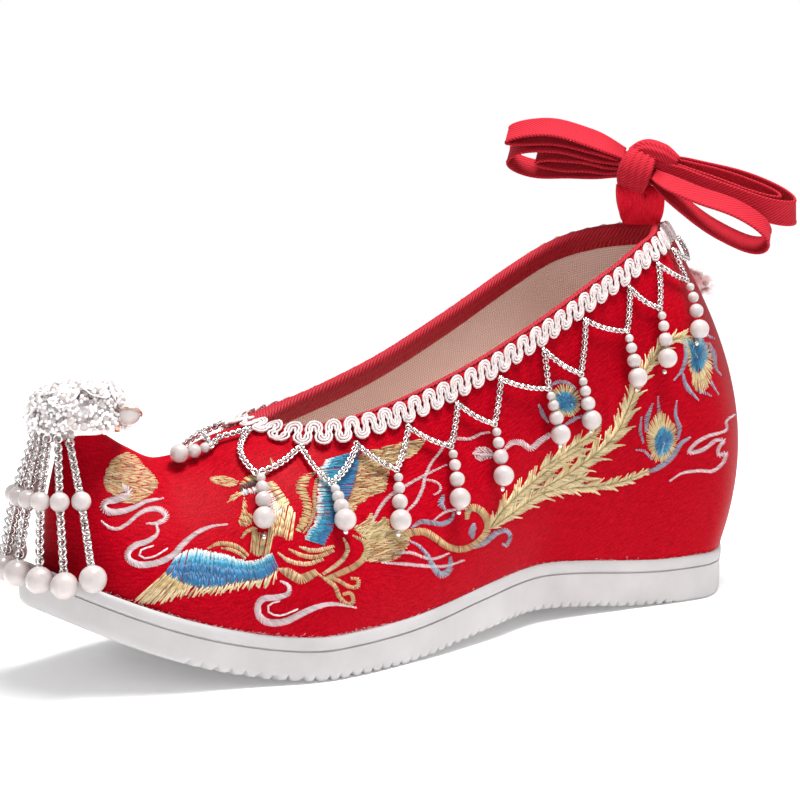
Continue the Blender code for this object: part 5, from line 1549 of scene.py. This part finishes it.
def drawTail():
    gold = ("gold", "straw", "straw")
    plume("tail", ((892, 885), (980, 760), (1120, 620), (1290, 480), (1450, 360), (1580, 290)),
          (50, 110, 120, 110, 100, 90), gold)
    plume("tail", ((905, 880), (1050, 780), (1220, 660), (1400, 580), (1600, 500)), (40, 100, 110, 110, 100),
          gold, 0.05)
    plume("plume", ((0, 1190), (140, 1100), (300, 990), (400, 925), (420, 800)), (90, 95, 90, 80, 40), gold)
    plume("plume", ((20, 1330), (180, 1240), (330, 1140), (480, 1020), (580, 900), (650, 750), (700, 620),
                    (770, 480), (860, 340), (960, 240), (1080, 190)),
          (90, 110, 115, 115, 110, 105, 95, 90, 85, 80, 60), gold, 0.08)
    plume("plume", ((-60, 1375), (200, 1335), (400, 1318), (600, 1285), (800, 1205)), (70, 80, 75, 65, 30),
          gold, 0.04)
    for path, widths in (
            (((840, 700), (802, 800), (790, 905)), (8, 40, 20)),
            (((756, 800), (748, 900), (770, 990)), (8, 26, 16)),
            (((1020, 680), (1010, 780), (1040, 880), (1030, 965)), (8, 26, 34, 18)),
            (((880, 648), (886, 752)), (8, 24)),
            (((1120, 950), (1050, 1000), (980, 1100), (880, 1180), (820, 1205)), (14, 34, 40, 40, 26)),
            (((716, 1045), (780, 1055), (832, 1112)), (8, 24, 18)),
            (((1072, 210), (1092, 330), (1060, 450), (1000, 522)), (26, 36, 26, 8)),
            (((1066, 480), (1092, 570), (1182, 672)), (18, 38, 8)),
            (((1262, 250), (1300, 340), (1310, 430), (1350, 485)), (18, 36, 28, 8)),
            (((1216, 180), (1298, 212)), (34, 12)),
            (((1276, 540), (1330, 630)), (24, 8)), (((1190, 602), (1276, 640)), (34, 12)),
            (((62, 580), (130, 538), (200, 542), (265, 585)), (14, 26, 26, 18)),
            (((-10, 710), (20, 780), (60, 838)), (14, 36, 14)),
            (((175, 866), (260, 812), (310, 792)), (14, 30, 18))):
        scroll("plume", path, widths, "grey", 0.06, 0.3)
    eyeSpot("plume", ((900, 756), (830, 828), (800, 920), (808, 1020), (848, 1122), (930, 1132),
                      (1002, 1050), (1018, 940), (986, 828)),
            ((920, 860), (872, 920), (850, 1010), (868, 1080), (930, 1092), (982, 1010), (990, 920)),
            ((912, 1085), (920, 1000)))
    eyeSpot("plume", ((1060, 205), (1098, 360), (1128, 480), (1160, 602), (1220, 612), (1272, 520),
                      (1284, 400), (1262, 290), (1200, 205)),
            ((1090, 215), (1124, 310), (1124, 420), (1164, 470), (1222, 420), (1250, 320), (1212, 222)),
            ((1130, 240), (1160, 340)))
    eyeSpot("plume", ((70, 620), (150, 556), (240, 572), (298, 640), (296, 740), (240, 792), (150, 792),
                      (90, 730)), ((108, 640), (170, 600), (250, 630), (280, 700), (240, 762), (170, 762),
                                   (128, 720)), ((215, 665), (235, 710)))


def stitchShape(name):       # a short bead of thread: three rings of three points, closed
    points = []
    for x, wide, high in ((-0.5, 0.75, 0.6), (0.0, 1.0, 1.0), (0.5, 0.75, 0.6)):
        points += [(x, -0.5 * wide, 0.0), (x, 0.0, high), (x, 0.5 * wide, 0.0)]
    faces = [(0, 2, 1), (6, 7, 8)]
    for k in (0, 3):
        faces += [(k + a, k + b, k + 3 + b, k + 3 + a) for a, b in ((0, 1), (1, 2), (2, 0))]
    return shapeObject(name, points, faces)


def wallTree(side):
    patch, quads = skins[side, 0][1:]
    return BVHTree.FromPolygons([Vector(p) for p in patch.tolist()], quads)


def sewWalls():
    walls = {side: wallTree(side) for side in (near, far)}
    origin = Vector(eye.tolist())
    centre = view["picture"] / 2
    least, most = sewing["kept"]
    nearMarks, farMarks = [], []
    for a, b, colour, lift, width in stitches:
        ends = []
        for px, py in (a, b):
            ray = viewRight * (px - centre) - viewUp * (py - centre) - viewBack * view["focal"]
            ends.append(walls[near].ray_cast(origin, Vector(unit(ray).tolist())))
        tone = np.array(toLinear(threads[colour]))
        shadow = 0.8 if colour in ("pink", "white") else 0.55
        tone[:3] *= sewingPick.choice((shadow, 0.88, 0.95, 1.0, 1.05, 1.1))        # odd ones in shadow
        for marks, side in ((nearMarks, near), (farMarks, far)):
            found = ends
            if side == far and ends[0][0] and ends[1][0]:
                starts = [Vector((end[0].x, sewing["farFrom"], end[0].z)) for end in ends]
                found = [walls[far].ray_cast(start, Vector((0, -1, 0))) for start in starts]
            if found[0][0] is None or found[1][0] is None:
                continue
            one, two = np.array(found[0][0]), np.array(found[1][0])
            out = np.array(found[0][1]) + np.array(found[1][1])
            out = out if out[1] * side > 0 or out[2] > 0.6 else -out
            long = float(np.linalg.norm(two - one))
            if long < least or long > most:
                continue
            marks.append({"at": (one + two) / 2 + (lift - sewing["sink"]) * unit(out), "along": two - one,
                          "out": out, "size": (long, sewing["width"] * width, sewing["height"]),
                          "colour": tone})
    shape = stitchShape("stitchShape")
    for word, marks in (("near", nearMarks), ("far", farMarks)):
        scatterPiece(f"embroidery_{word}", marks, shape, thread)
        print("stitches", word, len(marks))


drawSunAndClouds()
drawHead()
drawWings()
drawBody()
drawTendrils()
drawTail()
sewWalls()
print("embroidery sewn")


# heel flower and loose fibre along the sole

flower = {"drop": 25.0, "off": 0.6, "petals": 9, "petalLong": 6.4, "beads": 22, "seed": 3}


def buildHeelFlower():
    pick = random.Random(flower["seed"])
    below, above = (wallPoint(near, upper["heel"], flower["drop"] + d, 0.0) for d in (1.0, -1.0))
    rise = unit(above - below)
    across = np.array([0.0, 1.0, 0.0])
    out = unit(np.cross(across, rise))
    out = out if out[0] > 0 else -out
    seat = (below + above) / 2 + flower["off"] * out
    petalMarks, beadMarks = [], []
    for n in range(flower["petals"]):
        turn = 2 * math.pi * n / flower["petals"]
        away = math.cos(turn) * rise + math.sin(turn) * across
        long = flower["petalLong"] * pick.uniform(0.85, 1.1)
        petalMarks.append({"at": seat + 0.6 * away + 0.5 * out, "along": away + pick.uniform(0.15, 0.5) * out,
                           "out": out, "size": (long,) * 3})
    for n in range(flower["beads"]):
        turn, reach = goldenTurn * n, 1.05 * math.sqrt(n)
        away = math.cos(turn) * rise + math.sin(turn) * across
        beadMarks.append(ballMark(seat + reach * away + (3.2 - 0.25 * reach) * out, pick.uniform(0.8, 1.25)))
    scatterPiece("heel_flower_petals", petalMarks, petalShape("heelPetalShape"), petal,
                 ["heel_flower"])
    scatterPiece("heel_flower_beads", beadMarks, pearlBall, pearl)


fibre = {"seed": 23, "count": 1000, "long": (0.3, 0.9), "gauge": 0.08, "reach": 0.6, "sink": 0.6}


def layLint():         # short fibres caught between the satin and the sole
    pick = random.Random(fibre["seed"])
    marks = []
    for n in range(fibre["count"]):
        side = near if n % 2 else far
        station = pick.uniform(0.4, upper["heel"] - 0.2)
        length = wallCurve(side, station, 0.0)[1][-1]
        drop = length - abs(pick.gauss(0.0, 0.5)) * fibre["reach"]
        here, low = (wallPoint(side, station, drop - d, 0.1) for d in (0.0, 1.0))
        ahead = wallPoint(side, min(station + 0.02, upper["heel"]), drop, 0.1)
        slide, rise = unit(ahead - here), unit(low - here)
        out = np.cross(slide, rise)
        out = out if out[1] * side > 0 else -out
        along = slide * pick.choice((-1, 1)) + pick.uniform(-0.7, 0.7) * rise + pick.uniform(0.0, 0.25) * out
        marks.append({"at": here - fibre["sink"] * up, "along": along, "out": out,
                      "size": (pick.uniform(*fibre["long"]), fibre["gauge"], fibre["gauge"])})
    scatterPiece("sole_edge_lint", marks, stitchShape("lintShape"), lint)


buildHeelFlower()
layLint()
print("heel flower and lint placed")

# height over the sole, mm from the back of the heel
footbed = {"clearance": 0.8, "crown": 0.6, "columns": 24, "turnDown": 6.0,
           "rows": ((0, 48), (40, 46), (80, 32), (120, 15), (150, 6.5), (180, 4.5), (250, 4.5))}


def footbedHeight(at):
    return soleTop(at) + smooth(tuple(float(a) for a, h in footbed["rows"]),
                                tuple(float(h) for a, h in footbed["rows"]), at)


def buildFootbed():        # canvas-covered footbed, softly crowned, with its edge turned down
    outset = -(upper["wall"] + footbed["clearance"])
    rows, flat = [], []
    travel, before = 0.0, None
    for station in wallStations(0, upper["heel"])[::-1]:
        ends, lows = [], []
        for side in (near, far):
            curve, length = wallCurve(side, station, outset)
            over = [p[2] - footbedHeight(sole["length"] / 2 - p[0]) for p in curve]
            ends.append(wallPoint(side, station, float(np.interp(0.0, over[::-1], length[::-1])), outset))
            lows.append(wallPoint(side, station, length[-1], outset))
        row, marks = [lows[0]], [(travel, -footbed["turnDown"])]
        for k in range(footbed["columns"] + 1):
            t = k / footbed["columns"]
            point = ends[0] + (ends[1] - ends[0]) * t
            row.append(point + footbed["crown"] * (math.sin(math.pi * t) ** 0.5 - 0.5) * up)
            marks.append((travel, float(np.linalg.norm(point - ends[0]))))
        row.append(lows[1])
        marks.append((travel, marks[-1][1] + footbed["turnDown"]))
        travel += 0.0 if before is None else float(np.linalg.norm(ends[0] - before))
        before = ends[0]
        rows.append(row)
        flat.append(marks + [(travel, 0.0)])
    points, faces, corners = gridPatch(rows, closeAcross=True, uv=flat)
    makePiece("insole_footbed", points, faces, [canvas], ["insole"], corners, sharp=60)


buildFootbed()
print("footbed laid")

for shape in unitShapes:
    bpy.data.objects.remove(shape)
